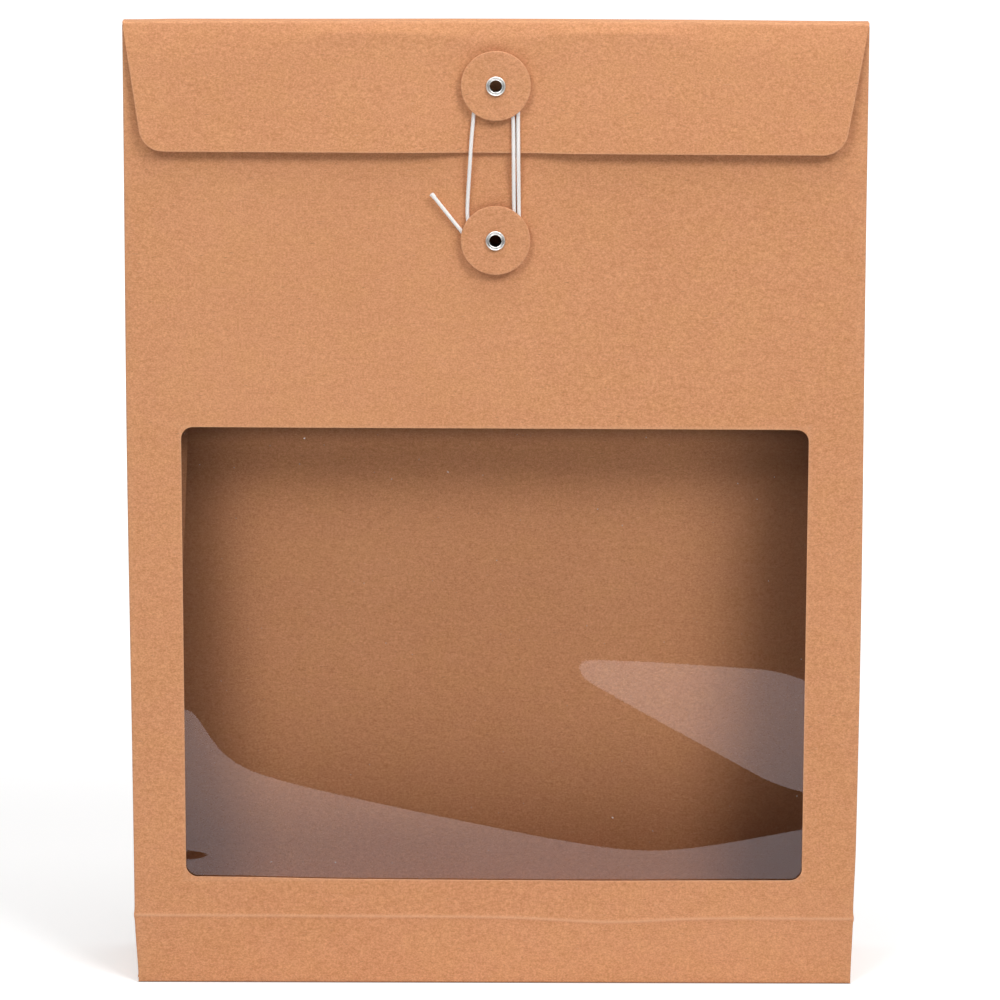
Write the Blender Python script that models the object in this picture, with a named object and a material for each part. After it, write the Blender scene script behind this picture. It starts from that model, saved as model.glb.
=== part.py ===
"""Kraft card document pouch with a clear window and a string-and-button closure.

Metres, +Z up. The pouch stands on its base at Z = 0 and its front faces -Y.
The body is one scored sheet in real life. Here each panel between two creases is its own object,
and the spine, the flap and the two discs hang on empties that sit on their turning axes.
"""
import math

import bmesh
import bpy
from mathutils import Vector
from mathutils.geometry import interpolate_bezier

MM = 0.001

# Sheet stock
CARD = 0.5 * MM
FILM = 0.2 * MM
GAP = 0.3 * MM

# Body
WIDTH = 240 * MM
HEIGHT = 323 * MM
BASE_DEPTH = 45 * MM
TOP_DEPTH = 7 * MM
SCORE_HEIGHT = BASE_DEPTH / 2
MOUTH_DROP = 0.8 * MM

# Window
WINDOW_WIDTH = 204.6 * MM
WINDOW_LOW = 36 * MM
WINDOW_HIGH = 190 * MM
WINDOW_RADIUS = 4 * MM
FILM_MARGIN = 8 * MM

# Spine and flap
SPINE_WIDTH = 239.4 * MM
FLAP_FOLD_WIDTH = 239.2 * MM
FLAP_END_WIDTH = 224.6 * MM
FLAP_LENGTH = 42.6 * MM
FLAP_RADIUS = 8 * MM
FLAP_STANDOFF = 1.2 * MM

# Buttons
UPPER_BUTTON_HEIGHT = 302.8 * MM
LOWER_BUTTON_HEIGHT = 252.3 * MM
DISC_RADIUS = 11.25 * MM
DISC_THICKNESS = 0.8 * MM
DISC_EDGE = 0.2 * MM
BORE_RADIUS = 1.95 * MM
BARREL_RADIUS = 2.2 * MM
FLANGE_RADIUS = 3.2 * MM
FLANGE_HEIGHT = 0.5 * MM
CLINCH_RADIUS = 3.0 * MM
CLINCH_HEIGHT = 0.4 * MM

# String
STRING_DIAMETER = 1.25 * MM
STRING_STEP = 2.85 * MM

# Base flaps and glue tab
INNER_FLAP_REACH = 34 * MM
SIDE_TAB_REACH = 42 * MM
TAB_CHAMFER = 9 * MM
SEAM_TAB_WIDTH = 9 * MM
SEAM_TAB_INSET = 6 * MM
SEAM_TAB_CHAMFER = 6 * MM
SEAM_TAB_TOP_DROP = 30 * MM

# Fineness of the faceted surfaces, and how far a cutter stands past the sheet that it cuts
CUTTER_REACH = 2 * MM
SHARP_ANGLE = math.radians(35)
ARC_STEPS = 6
DISC_SIDES = 56
EYELET_SIDES = 32
ROLL_STEPS = 7
GUSSET_ROWS = 14
GUSSET_COLUMNS = 2
GUSSET_CROWDING = 1.7
CURVE_STEPS = 12

# Places worked out from the dimensions above
HALF_WIDTH = WIDTH / 2
FRONT_Y = -BASE_DEPTH / 2
BACK_Y = BASE_DEPTH / 2
BACK_TOP_Y = FRONT_Y + TOP_DEPTH
BACK_LEAN = math.atan2(BACK_Y - BACK_TOP_Y, HEIGHT)
FLAP_FACE_Y = FRONT_Y - FLAP_STANDOFF - CARD
LAYER = CARD + GAP
MOUTH_HEIGHT = HEIGHT - CARD - MOUTH_DROP
DISC_STANDOFF = STRING_DIAMETER + 2 * GAP
UPRIGHT = math.radians(90)

# Linear colours
KRAFT = (0.672, 0.305, 0.150)
DISC_KRAFT = (0.640, 0.295, 0.150)
CLEAR = (0.86, 0.86, 0.86)
NICKEL = (0.80, 0.79, 0.77)
COTTON = (0.86, 0.82, 0.77)

# Height of the string's centre over the front panel, under the lower disc, half-way and on the flap
ON_PANEL = GAP / MM + STRING_DIAMETER / MM / 2
ON_FLAP = ON_PANEL + (FLAP_STANDOFF + CARD) / MM
BETWEEN = (ON_PANEL + ON_FLAP) / 2

# Route of the string in millimetres: across, up from the lower button, out from the front panel.
# It is tied round the upper eyelet, goes down and round the lower button, back over the upper one,
# down and round the lower one again, and ends in a free tail.
STRING_ROUTE = (
    (-2.5, 48.4, ON_FLAP),
    (-3.3, 50.6, ON_FLAP),
    (-2.2, 52.9, ON_FLAP),
    (0.2, 53.8, ON_FLAP),
    (2.5, 52.6, ON_FLAP),
    (3.7, 50.0, ON_FLAP),
    (4.6, 46.4, ON_FLAP),
    (5.3, 42.6, ON_FLAP),
    (5.65, 38.6, ON_FLAP),
    (5.75, 33.0, ON_FLAP),
    (5.8, 26.4, ON_FLAP),
    (5.85, 19.0, BETWEEN),
    (5.95, 11.8, ON_PANEL),
    (6.0, 9.0, ON_PANEL),
    (5.9, 5.0, ON_PANEL),
    (5.4, 1.0, ON_PANEL),
    (3.9, -3.4, ON_PANEL),
    (0.6, -5.4, ON_PANEL),
    (-2.9, -4.6, ON_PANEL),
    (-5.0, -2.2, ON_PANEL),
    (-6.8, 1.2, ON_PANEL),
    (-8.3, 4.4, ON_PANEL),
    (-9.0, 7.2, ON_PANEL),
    (-9.05, 11.8, ON_PANEL),
    (-8.65, 19.0, BETWEEN),
    (-8.2, 26.4, ON_FLAP),
    (-7.8, 33.0, ON_FLAP),
    (-7.3, 38.6, ON_FLAP),
    (-6.95, 43.5, ON_FLAP),
    (-6.9, 48.0, ON_FLAP),
    (-6.6, 52.6, ON_FLAP),
    (-4.6, 56.0, ON_FLAP),
    (-1.0, 57.6, ON_FLAP),
    (3.0, 57.0, ON_FLAP),
    (6.0, 54.2, ON_FLAP),
    (7.1, 50.2, ON_FLAP),
    (7.2, 45.0, ON_FLAP),
    (7.25, 38.6, ON_FLAP),
    (7.3, 33.0, ON_FLAP),
    (7.35, 26.4, ON_FLAP),
    (7.45, 19.0, BETWEEN),
    (7.55, 11.8, ON_PANEL),
    (7.6, 8.0, ON_PANEL),
    (7.5, 3.0, ON_PANEL),
    (6.6, -2.0, ON_PANEL),
    (4.3, -5.8, ON_PANEL),
    (0.7, -7.3, ON_PANEL),
    (-2.9, -6.6, ON_PANEL),
    (-5.8, -4.0, ON_PANEL),
    (-8.2, -0.9, ON_PANEL),
    (-10.7, 2.4, ON_PANEL),
    (-14.0, 6.6, ON_PANEL),
    (-17.5, 11.1, ON_PANEL),
    (-20.8, 15.3, ON_PANEL),
)


def clear_scene():
    for old in list(bpy.data.objects):
        bpy.data.objects.remove(old, do_unlink=True)


def make_material(name, colour, roughness, metallic=0.0, alpha=1.0):
    material = bpy.data.materials.new(name)
    material.use_nodes = True
    shader = material.node_tree.nodes["Principled BSDF"]
    shader.inputs["Base Color"].default_value = (*colour, 1.0)
    shader.inputs["Roughness"].default_value = roughness
    shader.inputs["Metallic"].default_value = metallic
    shader.inputs["Alpha"].default_value = alpha
    return material


def card_material(name):
    return make_material(f"{name}_card", KRAFT, 0.85)


def make_empty(name, location, parent=None, tilt=0.0):
    """An empty on a fold, an axis or a leaning face; its children are placed from it."""
    empty = bpy.data.objects.new(name, None)
    bpy.context.scene.collection.objects.link(empty)
    empty.parent = parent
    empty.location = location
    empty.rotation_euler = (tilt, 0.0, 0.0)
    return empty


def make_object(name, data, material, location, parent=None, tilt=0.0):
    if material is not None:
        data.materials.append(material)
    made = bpy.data.objects.new(name, data)
    bpy.context.scene.collection.objects.link(made)
    made.parent = parent
    made.location = location
    made.rotation_euler = (tilt, 0.0, 0.0)
    return made


def finish_mesh(name, bm):
    bmesh.ops.recalc_face_normals(bm, faces=bm.faces[:])
    mesh = bpy.data.meshes.new(name)
    bm.to_mesh(mesh)
    bm.free()
    return mesh


def rounded(corners):
    """Outline through (x, y, radius) corners, with an arc tangent to both sides at each radius."""
    outline = []
    for i, (x, y, radius) in enumerate(corners):
        here = Vector((x, y))
        if radius == 0:
            outline.append(here)
            continue
        before = (Vector(corners[i - 1][:2]) - here).normalized()
        after = (Vector(corners[(i + 1) % len(corners)][:2]) - here).normalized()
        half_angle = before.angle(after) / 2
        centre = here + (before + after).normalized() * radius / math.sin(half_angle)
        first = here + before * radius / math.tan(half_angle) - centre
        last = here + after * radius / math.tan(half_angle) - centre
        start = math.atan2(first.y, first.x)
        sweep = math.remainder(math.atan2(last.y, last.x) - start, math.tau)
        for step in range(ARC_STEPS + 1):
            angle = start + sweep * step / ARC_STEPS
            outline.append(centre + radius * Vector((math.cos(angle), math.sin(angle))))
    return outline


def rectangle(left, right, low, high, radius=0.0):
    return rounded(((left, low, radius), (right, low, radius), (right, high, radius), (left, high, radius)))


def circle(radius, height, sides):
    angles = [math.tau * i / sides for i in range(sides)]
    return [Vector((radius * math.cos(a), height + radius * math.sin(a))) for a in angles]


def extruded(name, points, push):
    """Closed mesh of one flat face through 3-D points, extruded by a vector."""
    bm = bmesh.new()
    face = bm.faces.new([bm.verts.new(point) for point in points])
    raised = bmesh.ops.extrude_face_region(bm, geom=[face])
    verts = [item for item in raised["geom"] if isinstance(item, bmesh.types.BMVert)]
    bmesh.ops.translate(bm, vec=push, verts=verts)
    return finish_mesh(name, bm)


def plate(name, outline, thickness, material, location, parent=None, tilt=0.0):
    """Sheet with an outline in its local XY plane and its thickness along local +Z."""
    mesh = extruded(name, [(x, y, 0.0) for x, y in outline], (0.0, 0.0, thickness))
    return make_object(name, mesh, material, location, parent, tilt)


def cut_through(target, name, outline):
    """Boolean cut through a plate, with a cutter that stands past both of its faces."""
    cutter = plate(name, outline, 2 * CUTTER_REACH, None, (0.0, 0.0, -CUTTER_REACH), parent=target)
    cutter.hide_render = True
    cutter.display_type = "WIRE"
    modifier = target.modifiers.new(name, "BOOLEAN")
    modifier.operation = "DIFFERENCE"
    modifier.solver = "EXACT"
    modifier.object = cutter


def lathe(name, profile, sides, material, parent):
    """Closed (radius, height) profile spun about the parent's local Z."""
    bm = bmesh.new()
    ring = [bm.verts.new((radius, 0.0, height)) for radius, height in profile]
    edges = [bm.edges.new((ring[i - 1], ring[i])) for i in range(len(ring))]
    bmesh.ops.spin(
        bm, geom=ring + edges, axis=(0, 0, 1), cent=(0, 0, 0), steps=sides, angle=math.tau, use_merge=True
    )
    mesh = finish_mesh(name, bm)
    mesh.shade_smooth()
    mesh.set_sharp_from_angle(angle=SHARP_ANGLE)
    return make_object(name, mesh, material, (0.0, 0.0, 0.0), parent)


def closed_sheet(name, outer, inner):
    """Closed mesh between two grids of points with the same rows and columns."""
    bm = bmesh.new()
    sides = [[[bm.verts.new(point) for point in row] for row in grid] for grid in (outer, inner)]
    rows, columns = len(outer), len(outer[0])
    for grid in sides:
        for r in range(rows - 1):
            for c in range(columns - 1):
                bm.faces.new((grid[r][c], grid[r][c + 1], grid[r + 1][c + 1], grid[r + 1][c]))
    rim = [(0, c) for c in range(columns)]
    rim += [(r, columns - 1) for r in range(1, rows)]
    rim += [(rows - 1, c) for c in range(columns - 2, -1, -1)]
    rim += [(r, 0) for r in range(rows - 2, 0, -1)]
    for (r0, c0), (r1, c1) in zip(rim, rim[1:] + rim[:1]):
        bm.faces.new((sides[0][r0][c0], sides[0][r1][c1], sides[1][r1][c1], sides[1][r0][c0]))
    return finish_mesh(name, bm)


def back_face_y(z):
    """Outer face of the back panel, which leans forwards from the base to the spine."""
    return BACK_Y - z * math.tan(BACK_LEAN)


def half_depth(z):
    return (back_face_y(z) - FRONT_Y) / 2


def crease_y(z):
    return (back_face_y(z) + FRONT_Y) / 2


def crease_tuck(z):
    """How far the middle crease folds in, so that each half of the gusset keeps its cut width."""
    cut_width = half_depth(SCORE_HEIGHT)
    return math.sqrt(max(cut_width**2 - half_depth(z) ** 2, 0.0))


def fold_y(z, facing):
    """Where a gusset meets the front panel (facing -1) or the back panel (facing +1)."""
    if facing < 0:
        return FRONT_Y + LAYER
    return back_face_y(z) - CARD / math.cos(BACK_LEAN) - GAP


def make_gusset_half(name, side, facing):
    """One half of a side gusset, from its foot diagonal to the mouth, twisting as the crease tucks in."""
    outer, inner = [], []
    for row in range(GUSSET_ROWS + 1):
        rise = (row / GUSSET_ROWS) ** GUSSET_CROWDING
        outer_row, inner_row = [], []
        for column in range(GUSSET_COLUMNS + 1):
            across = column / GUSSET_COLUMNS
            foot = LAYER + 2 * GAP + across * (SCORE_HEIGHT - LAYER)
            z = foot + rise * (MOUTH_HEIGHT - foot)
            start = fold_y(z, facing)
            y = start + across * (crease_y(z) + facing * GAP / 2 - start)
            x = HALF_WIDTH - across * crease_tuck(z)
            through = CARD * math.hypot(crease_tuck(z), half_depth(z)) / half_depth(z)
            outer_row.append((side * x, y, z))
            inner_row.append((side * (x - through), y, z))
        outer.append(outer_row)
        inner.append(inner_row)
    make_object(name, closed_sheet(name, outer, inner), card_material(name), (0.0, 0.0, 0.0))


def make_gusset_foot(name, side):
    """Flat triangle between the two foot diagonals of a gusset."""
    x = side * HALF_WIDTH
    corners = (
        (x, fold_y(LAYER, -1), LAYER),
        (x, fold_y(LAYER, 1), LAYER),
        (x, crease_y(SCORE_HEIGHT), SCORE_HEIGHT),
    )
    mesh = extruded(name, corners, (-side * CARD, 0.0, 0.0))
    make_object(name, mesh, card_material(name), (0.0, 0.0, 0.0))


def make_gussets():
    for side, word in ((-1, "left"), (1, "right")):
        make_gusset_half(f"{word}_gusset_front", side, -1)
        make_gusset_half(f"{word}_gusset_back", side, 1)
        make_gusset_foot(f"{word}_gusset_foot", side)


def make_front():
    """Foot strip below the score, window panel above it, and the film glued behind the window."""
    foot = rectangle(-HALF_WIDTH, HALF_WIDTH, LAYER, SCORE_HEIGHT - GAP / 2)
    inner_face = (0.0, FRONT_Y + CARD, 0.0)
    plate("front_foot", foot, CARD, card_material("front_foot"), inner_face, tilt=UPRIGHT)
    sheet = rectangle(-HALF_WIDTH, HALF_WIDTH, SCORE_HEIGHT + GAP / 2, MOUTH_HEIGHT)
    panel = plate("front_panel", sheet, CARD, card_material("front_panel"), inner_face, tilt=UPRIGHT)
    half = WINDOW_WIDTH / 2
    cut_through(panel, "window_cut", rectangle(-half, half, WINDOW_LOW, WINDOW_HIGH, WINDOW_RADIUS))
    cut_through(panel, "lower_eyelet_cut", circle(BARREL_RADIUS + GAP, LOWER_BUTTON_HEIGHT, EYELET_SIDES))
    reach = half + FILM_MARGIN
    film = rectangle(-reach, reach, WINDOW_LOW - FILM_MARGIN, WINDOW_HIGH + FILM_MARGIN)
    clear_film = make_material("window_film_clear", CLEAR, 0.08, alpha=0.2)
    plate("window_film", film, FILM, clear_film, (0.0, FRONT_Y + LAYER + FILM, 0.0), tilt=UPRIGHT)


def make_back():
    """Back panel and, on its inner face, the glue tab that closes the tube of card."""
    lean = make_empty("back_face", (0.0, BACK_Y, 0.0), tilt=UPRIGHT + BACK_LEAN)
    top = (HEIGHT - LAYER) / math.cos(BACK_LEAN)
    sheet = rectangle(-HALF_WIDTH, HALF_WIDTH, LAYER, top)
    plate("back_panel", sheet, CARD, card_material("back_panel"), (0.0, 0.0, 0.0), parent=lean)
    outside = HALF_WIDTH - SEAM_TAB_INSET
    inside = outside - SEAM_TAB_WIDTH
    low, high = SCORE_HEIGHT, top - SEAM_TAB_TOP_DROP
    tab = (
        (outside, low),
        (outside, high),
        (inside, high - SEAM_TAB_CHAMFER),
        (inside, low + SEAM_TAB_CHAMFER),
    )
    plate("seam_tab", tab, CARD, card_material("seam_tab"), (0.0, 0.0, LAYER), parent=lean)


def make_base():
    """Base folded like a block bottom: side tabs inside, then the back flap, then the front flap."""
    outer = rectangle(-HALF_WIDTH, HALF_WIDTH, FRONT_Y, BACK_Y)
    plate("base_outer_flap", outer, CARD, card_material("base_outer_flap"), (0.0, 0.0, 0.0))
    room = HALF_WIDTH - LAYER
    back = fold_y(2 * LAYER, 1)
    front = fold_y(2 * LAYER, -1)
    free_edge = back - INNER_FLAP_REACH
    inner = (
        (-room, back),
        (-room, free_edge + TAB_CHAMFER),
        (-room + TAB_CHAMFER, free_edge),
        (room - TAB_CHAMFER, free_edge),
        (room, free_edge + TAB_CHAMFER),
        (room, back),
    )
    plate("base_inner_flap", inner, CARD, card_material("base_inner_flap"), (0.0, 0.0, LAYER))
    for side, word in ((-1, "left"), (1, "right")):
        end = room - SIDE_TAB_REACH
        tab = (
            (side * room, front),
            (side * end, front + TAB_CHAMFER),
            (side * end, back - TAB_CHAMFER),
            (side * room, back),
        )
        name = f"base_{word}_tab"
        plate(name, tab, CARD, card_material(name), (0.0, 0.0, 2 * LAYER))


def make_spine_and_flap():
    """Spine on the back panel's top fold, and the flap on the spine's front fold."""
    spine_fold = make_empty("spine_fold_axis", (0.0, BACK_TOP_Y, HEIGHT))
    reach = BACK_TOP_Y - FLAP_FACE_Y
    sheet = rectangle(-SPINE_WIDTH / 2, SPINE_WIDTH / 2, -reach, 0.0)
    plate("top_spine", sheet, CARD, card_material("top_spine"), (0.0, 0.0, -CARD), parent=spine_fold)
    flap_fold = make_empty("flap_fold_axis", (0.0, -reach, 0.0), parent=spine_fold)
    fold, end = FLAP_FOLD_WIDTH / 2, FLAP_END_WIDTH / 2
    outline = rounded(
        (
            (-fold, -LAYER, 0.0),
            (-end, -FLAP_LENGTH, FLAP_RADIUS),
            (end, -FLAP_LENGTH, FLAP_RADIUS),
            (fold, -LAYER, 0.0),
        )
    )
    flap = plate(
        "flap", outline, CARD, card_material("flap"), (0.0, CARD, 0.0), parent=flap_fold, tilt=UPRIGHT
    )
    button_height = UPPER_BUTTON_HEIGHT - HEIGHT
    cut_through(flap, "upper_eyelet_cut", circle(BARREL_RADIUS + GAP, button_height, EYELET_SIDES))
    return make_empty("upper_button_axis", (0.0, 0.0, button_height), parent=flap_fold, tilt=UPRIGHT)


def half_roll(start, end, height, rise):
    """Half ellipse of (radius, height) points from one radius to another, as on a rolled rim."""
    middle, half = (start + end) / 2, (end - start) / 2
    turns = [math.pi * i / ROLL_STEPS for i in range(ROLL_STEPS + 1)]
    return [(middle - half * math.cos(t), height + rise * math.sin(t)) for t in turns]


def make_button(word, axis):
    """Card disc that turns on a metal eyelet; the string runs in the room below the disc."""
    low, high = DISC_STANDOFF, DISC_STANDOFF + DISC_THICKNESS
    hole, rim = BARREL_RADIUS + GAP, DISC_RADIUS
    disc = (
        (hole, high),
        (rim - DISC_EDGE, high),
        (rim, high - DISC_EDGE),
        (rim, low + DISC_EDGE),
        (rim - DISC_EDGE, low),
        (hole, low),
    )
    disc_card = make_material(f"{word}_disc_card", DISC_KRAFT, 0.85)
    lathe(f"{word}_disc", disc, DISC_SIDES, disc_card, axis)
    seat, clinch = high + GAP, -LAYER
    eyelet = half_roll(BORE_RADIUS, FLANGE_RADIUS, seat, FLANGE_HEIGHT)
    eyelet += [(BARREL_RADIUS, seat), (BARREL_RADIUS, clinch)]
    eyelet += half_roll(CLINCH_RADIUS, BORE_RADIUS, clinch, -CLINCH_HEIGHT)
    nickel = make_material(f"{word}_eyelet_nickel", NICKEL, 0.25, metallic=1.0)
    lathe(f"{word}_eyelet", eyelet, EYELET_SIDES, nickel, axis)


def smooth_through(points):
    """Dense points on a smooth curve whose slope at each point follows its two neighbours."""
    ends = [points[0]] + list(points) + [points[-1]]
    slopes = [(ends[i + 2] - ends[i]) / 6 for i in range(len(points))]
    dense = []
    for i in range(len(points) - 1):
        piece = interpolate_bezier(
            points[i], points[i] + slopes[i], points[i + 1] - slopes[i + 1], points[i + 1], CURVE_STEPS
        )
        dense += piece[:-1]
    return dense + [points[-1]]


def evenly_spaced(dense, step):
    lengths = [0.0]
    for a, b in zip(dense, dense[1:]):
        lengths.append(lengths[-1] + (b - a).length)
    count = math.ceil(lengths[-1] / step)
    spaced, i = [], 0
    for k in range(count + 1):
        target = lengths[-1] * k / count
        while i < len(dense) - 2 and lengths[i + 1] < target:
            i += 1
        part = (target - lengths[i]) / (lengths[i + 1] - lengths[i])
        spaced.append(dense[i].lerp(dense[i + 1], part))
    return spaced


def make_string(upper_axis):
    """Cotton string, placed from the upper button that it is tied to."""
    lower = (LOWER_BUTTON_HEIGHT - UPPER_BUTTON_HEIGHT) / MM
    flap_face = (FLAP_STANDOFF + CARD) / MM
    route = [MM * Vector((x, lower + up, out - flap_face)) for x, up, out in STRING_ROUTE]
    curve = bpy.data.curves.new("tie_string", "CURVE")
    curve.dimensions = "3D"
    curve.bevel_depth = STRING_DIAMETER / 2
    curve.bevel_resolution = 2
    curve.use_fill_caps = True
    spline = curve.splines.new("POLY")
    points = evenly_spaced(smooth_through(route), STRING_STEP)
    spline.points.add(len(points) - 1)
    for spline_point, point in zip(spline.points, points):
        spline_point.co = (*point, 1.0)
    cotton = make_material("tie_string_cotton", COTTON, 0.9)
    make_object("tie_string", curve, cotton, (0.0, 0.0, 0.0), upper_axis)


def main():
    clear_scene()
    make_base()
    make_front()
    make_back()
    make_gussets()
    upper_axis = make_spine_and_flap()
    lower_axis = make_empty("lower_button_axis", (0.0, FRONT_Y, LOWER_BUTTON_HEIGHT), tilt=UPRIGHT)
    make_button("upper", upper_axis)
    make_button("lower", lower_axis)
    make_string(upper_axis)


main()
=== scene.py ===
"""Kraft card document pouch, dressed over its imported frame.

The body is one scored sheet: base flap, front with its window, gussets and back.
The top fold, the flap with its spine, the film, the two discs, the two eyelets and the string are
pieces of their own.
"""
import math

import bmesh
import bpy
import numpy as np
from mathutils import Matrix, Vector


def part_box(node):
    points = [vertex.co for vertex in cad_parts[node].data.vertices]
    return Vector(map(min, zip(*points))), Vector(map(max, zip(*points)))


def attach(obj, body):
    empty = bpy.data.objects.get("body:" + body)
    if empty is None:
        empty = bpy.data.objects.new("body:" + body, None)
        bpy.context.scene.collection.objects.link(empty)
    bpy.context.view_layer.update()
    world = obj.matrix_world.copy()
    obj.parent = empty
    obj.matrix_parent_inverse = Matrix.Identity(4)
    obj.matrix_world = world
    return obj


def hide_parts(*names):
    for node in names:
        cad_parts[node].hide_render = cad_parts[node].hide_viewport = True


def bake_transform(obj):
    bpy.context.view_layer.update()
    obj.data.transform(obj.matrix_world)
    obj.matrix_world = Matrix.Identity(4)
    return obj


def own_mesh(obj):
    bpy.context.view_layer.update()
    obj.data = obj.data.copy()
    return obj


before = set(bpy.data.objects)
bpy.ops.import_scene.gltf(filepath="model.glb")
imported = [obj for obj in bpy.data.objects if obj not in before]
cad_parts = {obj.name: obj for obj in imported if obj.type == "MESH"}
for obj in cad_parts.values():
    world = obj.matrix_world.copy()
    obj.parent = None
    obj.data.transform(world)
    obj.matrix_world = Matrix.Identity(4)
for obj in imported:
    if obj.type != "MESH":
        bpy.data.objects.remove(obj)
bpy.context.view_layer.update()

bl_info = {
    "name": "Kraft document pouch",
    "version": (1, 0, 0),
    "blender": (4, 5, 0),
    "location": "View3D > Sidebar > Pouch",
    "description": "Builds a kraft card document pouch with a clear window and a string closure",
    "category": "Object",
}

MM = 0.001

# Places taken from the frame
front_low, front_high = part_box("front_panel")
foot_low, foot_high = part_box("front_foot")
_, base_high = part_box("base_outer_flap")
_, spine_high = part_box("top_spine")
flap_low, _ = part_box("flap")
film_low, film_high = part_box("window_film")
upper_disc_low, upper_disc_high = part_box("upper_disc")
lower_disc_low, lower_disc_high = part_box("lower_disc")

HALF_WIDTH = front_high.x
FRONT_Y = front_low.y
BACK_Y = base_high.y
BACK_TOP_Y = spine_high.y
TOP = spine_high.z
MOUTH = front_high.z
SHEET_LOW = foot_low.z
SCORE = (foot_high.z + front_low.z) / 2
FLAP_Y = flap_low.y
FLAP_LOW = flap_low.z
UPPER_Z = (upper_disc_low.z + upper_disc_high.z) / 2
LOWER_Z = (lower_disc_low.z + lower_disc_high.z) / 2
DISC_RADIUS = upper_disc_high.x
DISC_LOW = FLAP_Y - upper_disc_high.y
DISC_HIGH = FLAP_Y - upper_disc_low.y

# Window and eyelet holes
WINDOW_HALF = 102.6 * MM
WINDOW_LOW = 36 * MM
WINDOW_HIGH = 190 * MM
WINDOW_RADIUS = 4 * MM
BELOW_WINDOW = 30 * MM
ABOVE_WINDOW = 205 * MM
HOLE_RADIUS = 2.5 * MM

# Flap outline
FLAP_FOLD_HALF = 119.9 * MM
FLAP_END_HALF = 113.0 * MM
FLAP_CORNER = 8 * MM
FLAP_TOP_STRIP = 8 * MM
FLAP_TURN = 0.9 * MM
BACK_TURN = 0.7 * MM
SPINE_ROOT = 2.5 * MM

# Camera of the photograph
CAMERA_PLACE = (1.7 * MM, -1615.5 * MM, 521 * MM)
CAMERA_PITCH = math.radians(12.57)
CAMERA_ROLL = math.radians(0.146)
CAMERA_LENS = 179.3
CAMERA_SENSOR = 36.0

# The floor that mirrors in the film ends this far in front of it
NEAR_FLOOR = 320 * MM

# Heights of the floor and of the dark ground under it
FLOOR_Z = -0.1 * MM
GROUND_Z = -20 * MM

# Glow of the floor near the pouch, and what it gains far away
FLOOR_GLOW = 0.42
FAR_GLOW = 0.58

# Strength of the world's light on the pouch, where one is the white seen behind it
WORLD_LIGHT = 0.08

# Soft lamps: name, place in metres, width and power
SOFTBOXES = (
    ("right_softbox", (0.75, -1.00, 1.34), 0.55, 12.2),
    ("left_softbox", (-0.60, -1.10, 1.28), 0.55, 7.8),
    ("top_softbox", (0.05, -0.22, 1.55), 0.7, 10.0),
)
LAMP_TARGET = (0.0, 0.0, 160 * MM)

# Height of the string's centre over the front panel: on the panel, half-way and on the flap
ON_PANEL = 0.925
BETWEEN = 1.775
ON_FLAP = 2.625

# Route of the string in millimetres: across, up from the lower button, out from the front panel
STRING_ROUTE = (
    (-2.5, 48.4, ON_FLAP),
    (-3.3, 50.6, ON_FLAP),
    (-2.2, 52.9, ON_FLAP),
    (0.2, 53.8, ON_FLAP),
    (2.5, 52.6, ON_FLAP),
    (3.7, 50.0, ON_FLAP),
    (4.6, 46.4, ON_FLAP),
    (5.3, 42.6, ON_FLAP),
    (5.65, 38.6, ON_FLAP),
    (5.75, 33.0, ON_FLAP),
    (5.8, 26.4, ON_FLAP),
    (5.85, 19.0, BETWEEN),
    (5.95, 11.8, ON_PANEL),
    (6.0, 9.0, ON_PANEL),
    (5.9, 5.0, ON_PANEL),
    (5.4, 1.0, ON_PANEL),
    (3.9, -3.4, ON_PANEL),
    (0.6, -5.4, ON_PANEL),
    (-2.9, -4.6, ON_PANEL),
    (-5.0, -2.2, ON_PANEL),
    (-6.8, 1.2, ON_PANEL),
    (-8.3, 4.4, ON_PANEL),
    (-9.0, 7.2, ON_PANEL),
    (-9.05, 11.8, ON_PANEL),
    (-8.65, 19.0, BETWEEN),
    (-8.2, 26.4, ON_FLAP),
    (-7.8, 33.0, ON_FLAP),
    (-7.3, 38.6, ON_FLAP),
    (-6.95, 43.5, ON_FLAP),
    (-6.9, 48.0, ON_FLAP),
    (-6.6, 52.6, ON_FLAP),
    (-4.6, 56.0, ON_FLAP),
    (-1.0, 57.6, ON_FLAP),
    (3.0, 57.0, ON_FLAP),
    (6.0, 54.2, ON_FLAP),
    (7.1, 50.2, ON_FLAP),
    (7.2, 45.0, ON_FLAP),
    (7.25, 38.6, ON_FLAP),
    (7.3, 33.0, ON_FLAP),
    (7.35, 26.4, ON_FLAP),
    (7.45, 19.0, BETWEEN),
    (7.55, 11.8, ON_PANEL),
    (7.6, 8.0, ON_PANEL),
    (7.5, 3.0, ON_PANEL),
    (6.6, -2.0, ON_PANEL),
    (4.3, -5.8, ON_PANEL),
    (0.7, -7.3, ON_PANEL),
    (-2.9, -6.6, ON_PANEL),
    (-5.8, -4.0, ON_PANEL),
    (-8.2, -0.9, ON_PANEL),
    (-10.7, 2.4, ON_PANEL),
    (-14.0, 6.6, ON_PANEL),
    (-17.5, 11.1, ON_PANEL),
    (-20.8, 15.3, ON_PANEL),
)

# How much red, green and blue change between the pale and the deep fibres of the card
PALE_WEIGHTS = (1.0, 1.42, 1.95)

# Noises of the card's tone, from clouds to specks: scale, detail, roughness and weight in their sum
CARD_NOISES = (
    ((16.0, 16.0, 16.0), 3.0, 0.55, 0.35),
    ((200.0, 200.0, 1400.0), 3.0, 0.55, 0.3),
    ((650.0, 650.0, 900.0), 2.0, 0.55, 0.7),
    ((1500.0, 1500.0, 1900.0), 4.0, 0.7, 2.3),
)

# Level that the sum of the noises starts from, and how far it takes the card from its colour
CARD_LEVEL = -1.32
CARD_CONTRAST = 0.19

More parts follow.
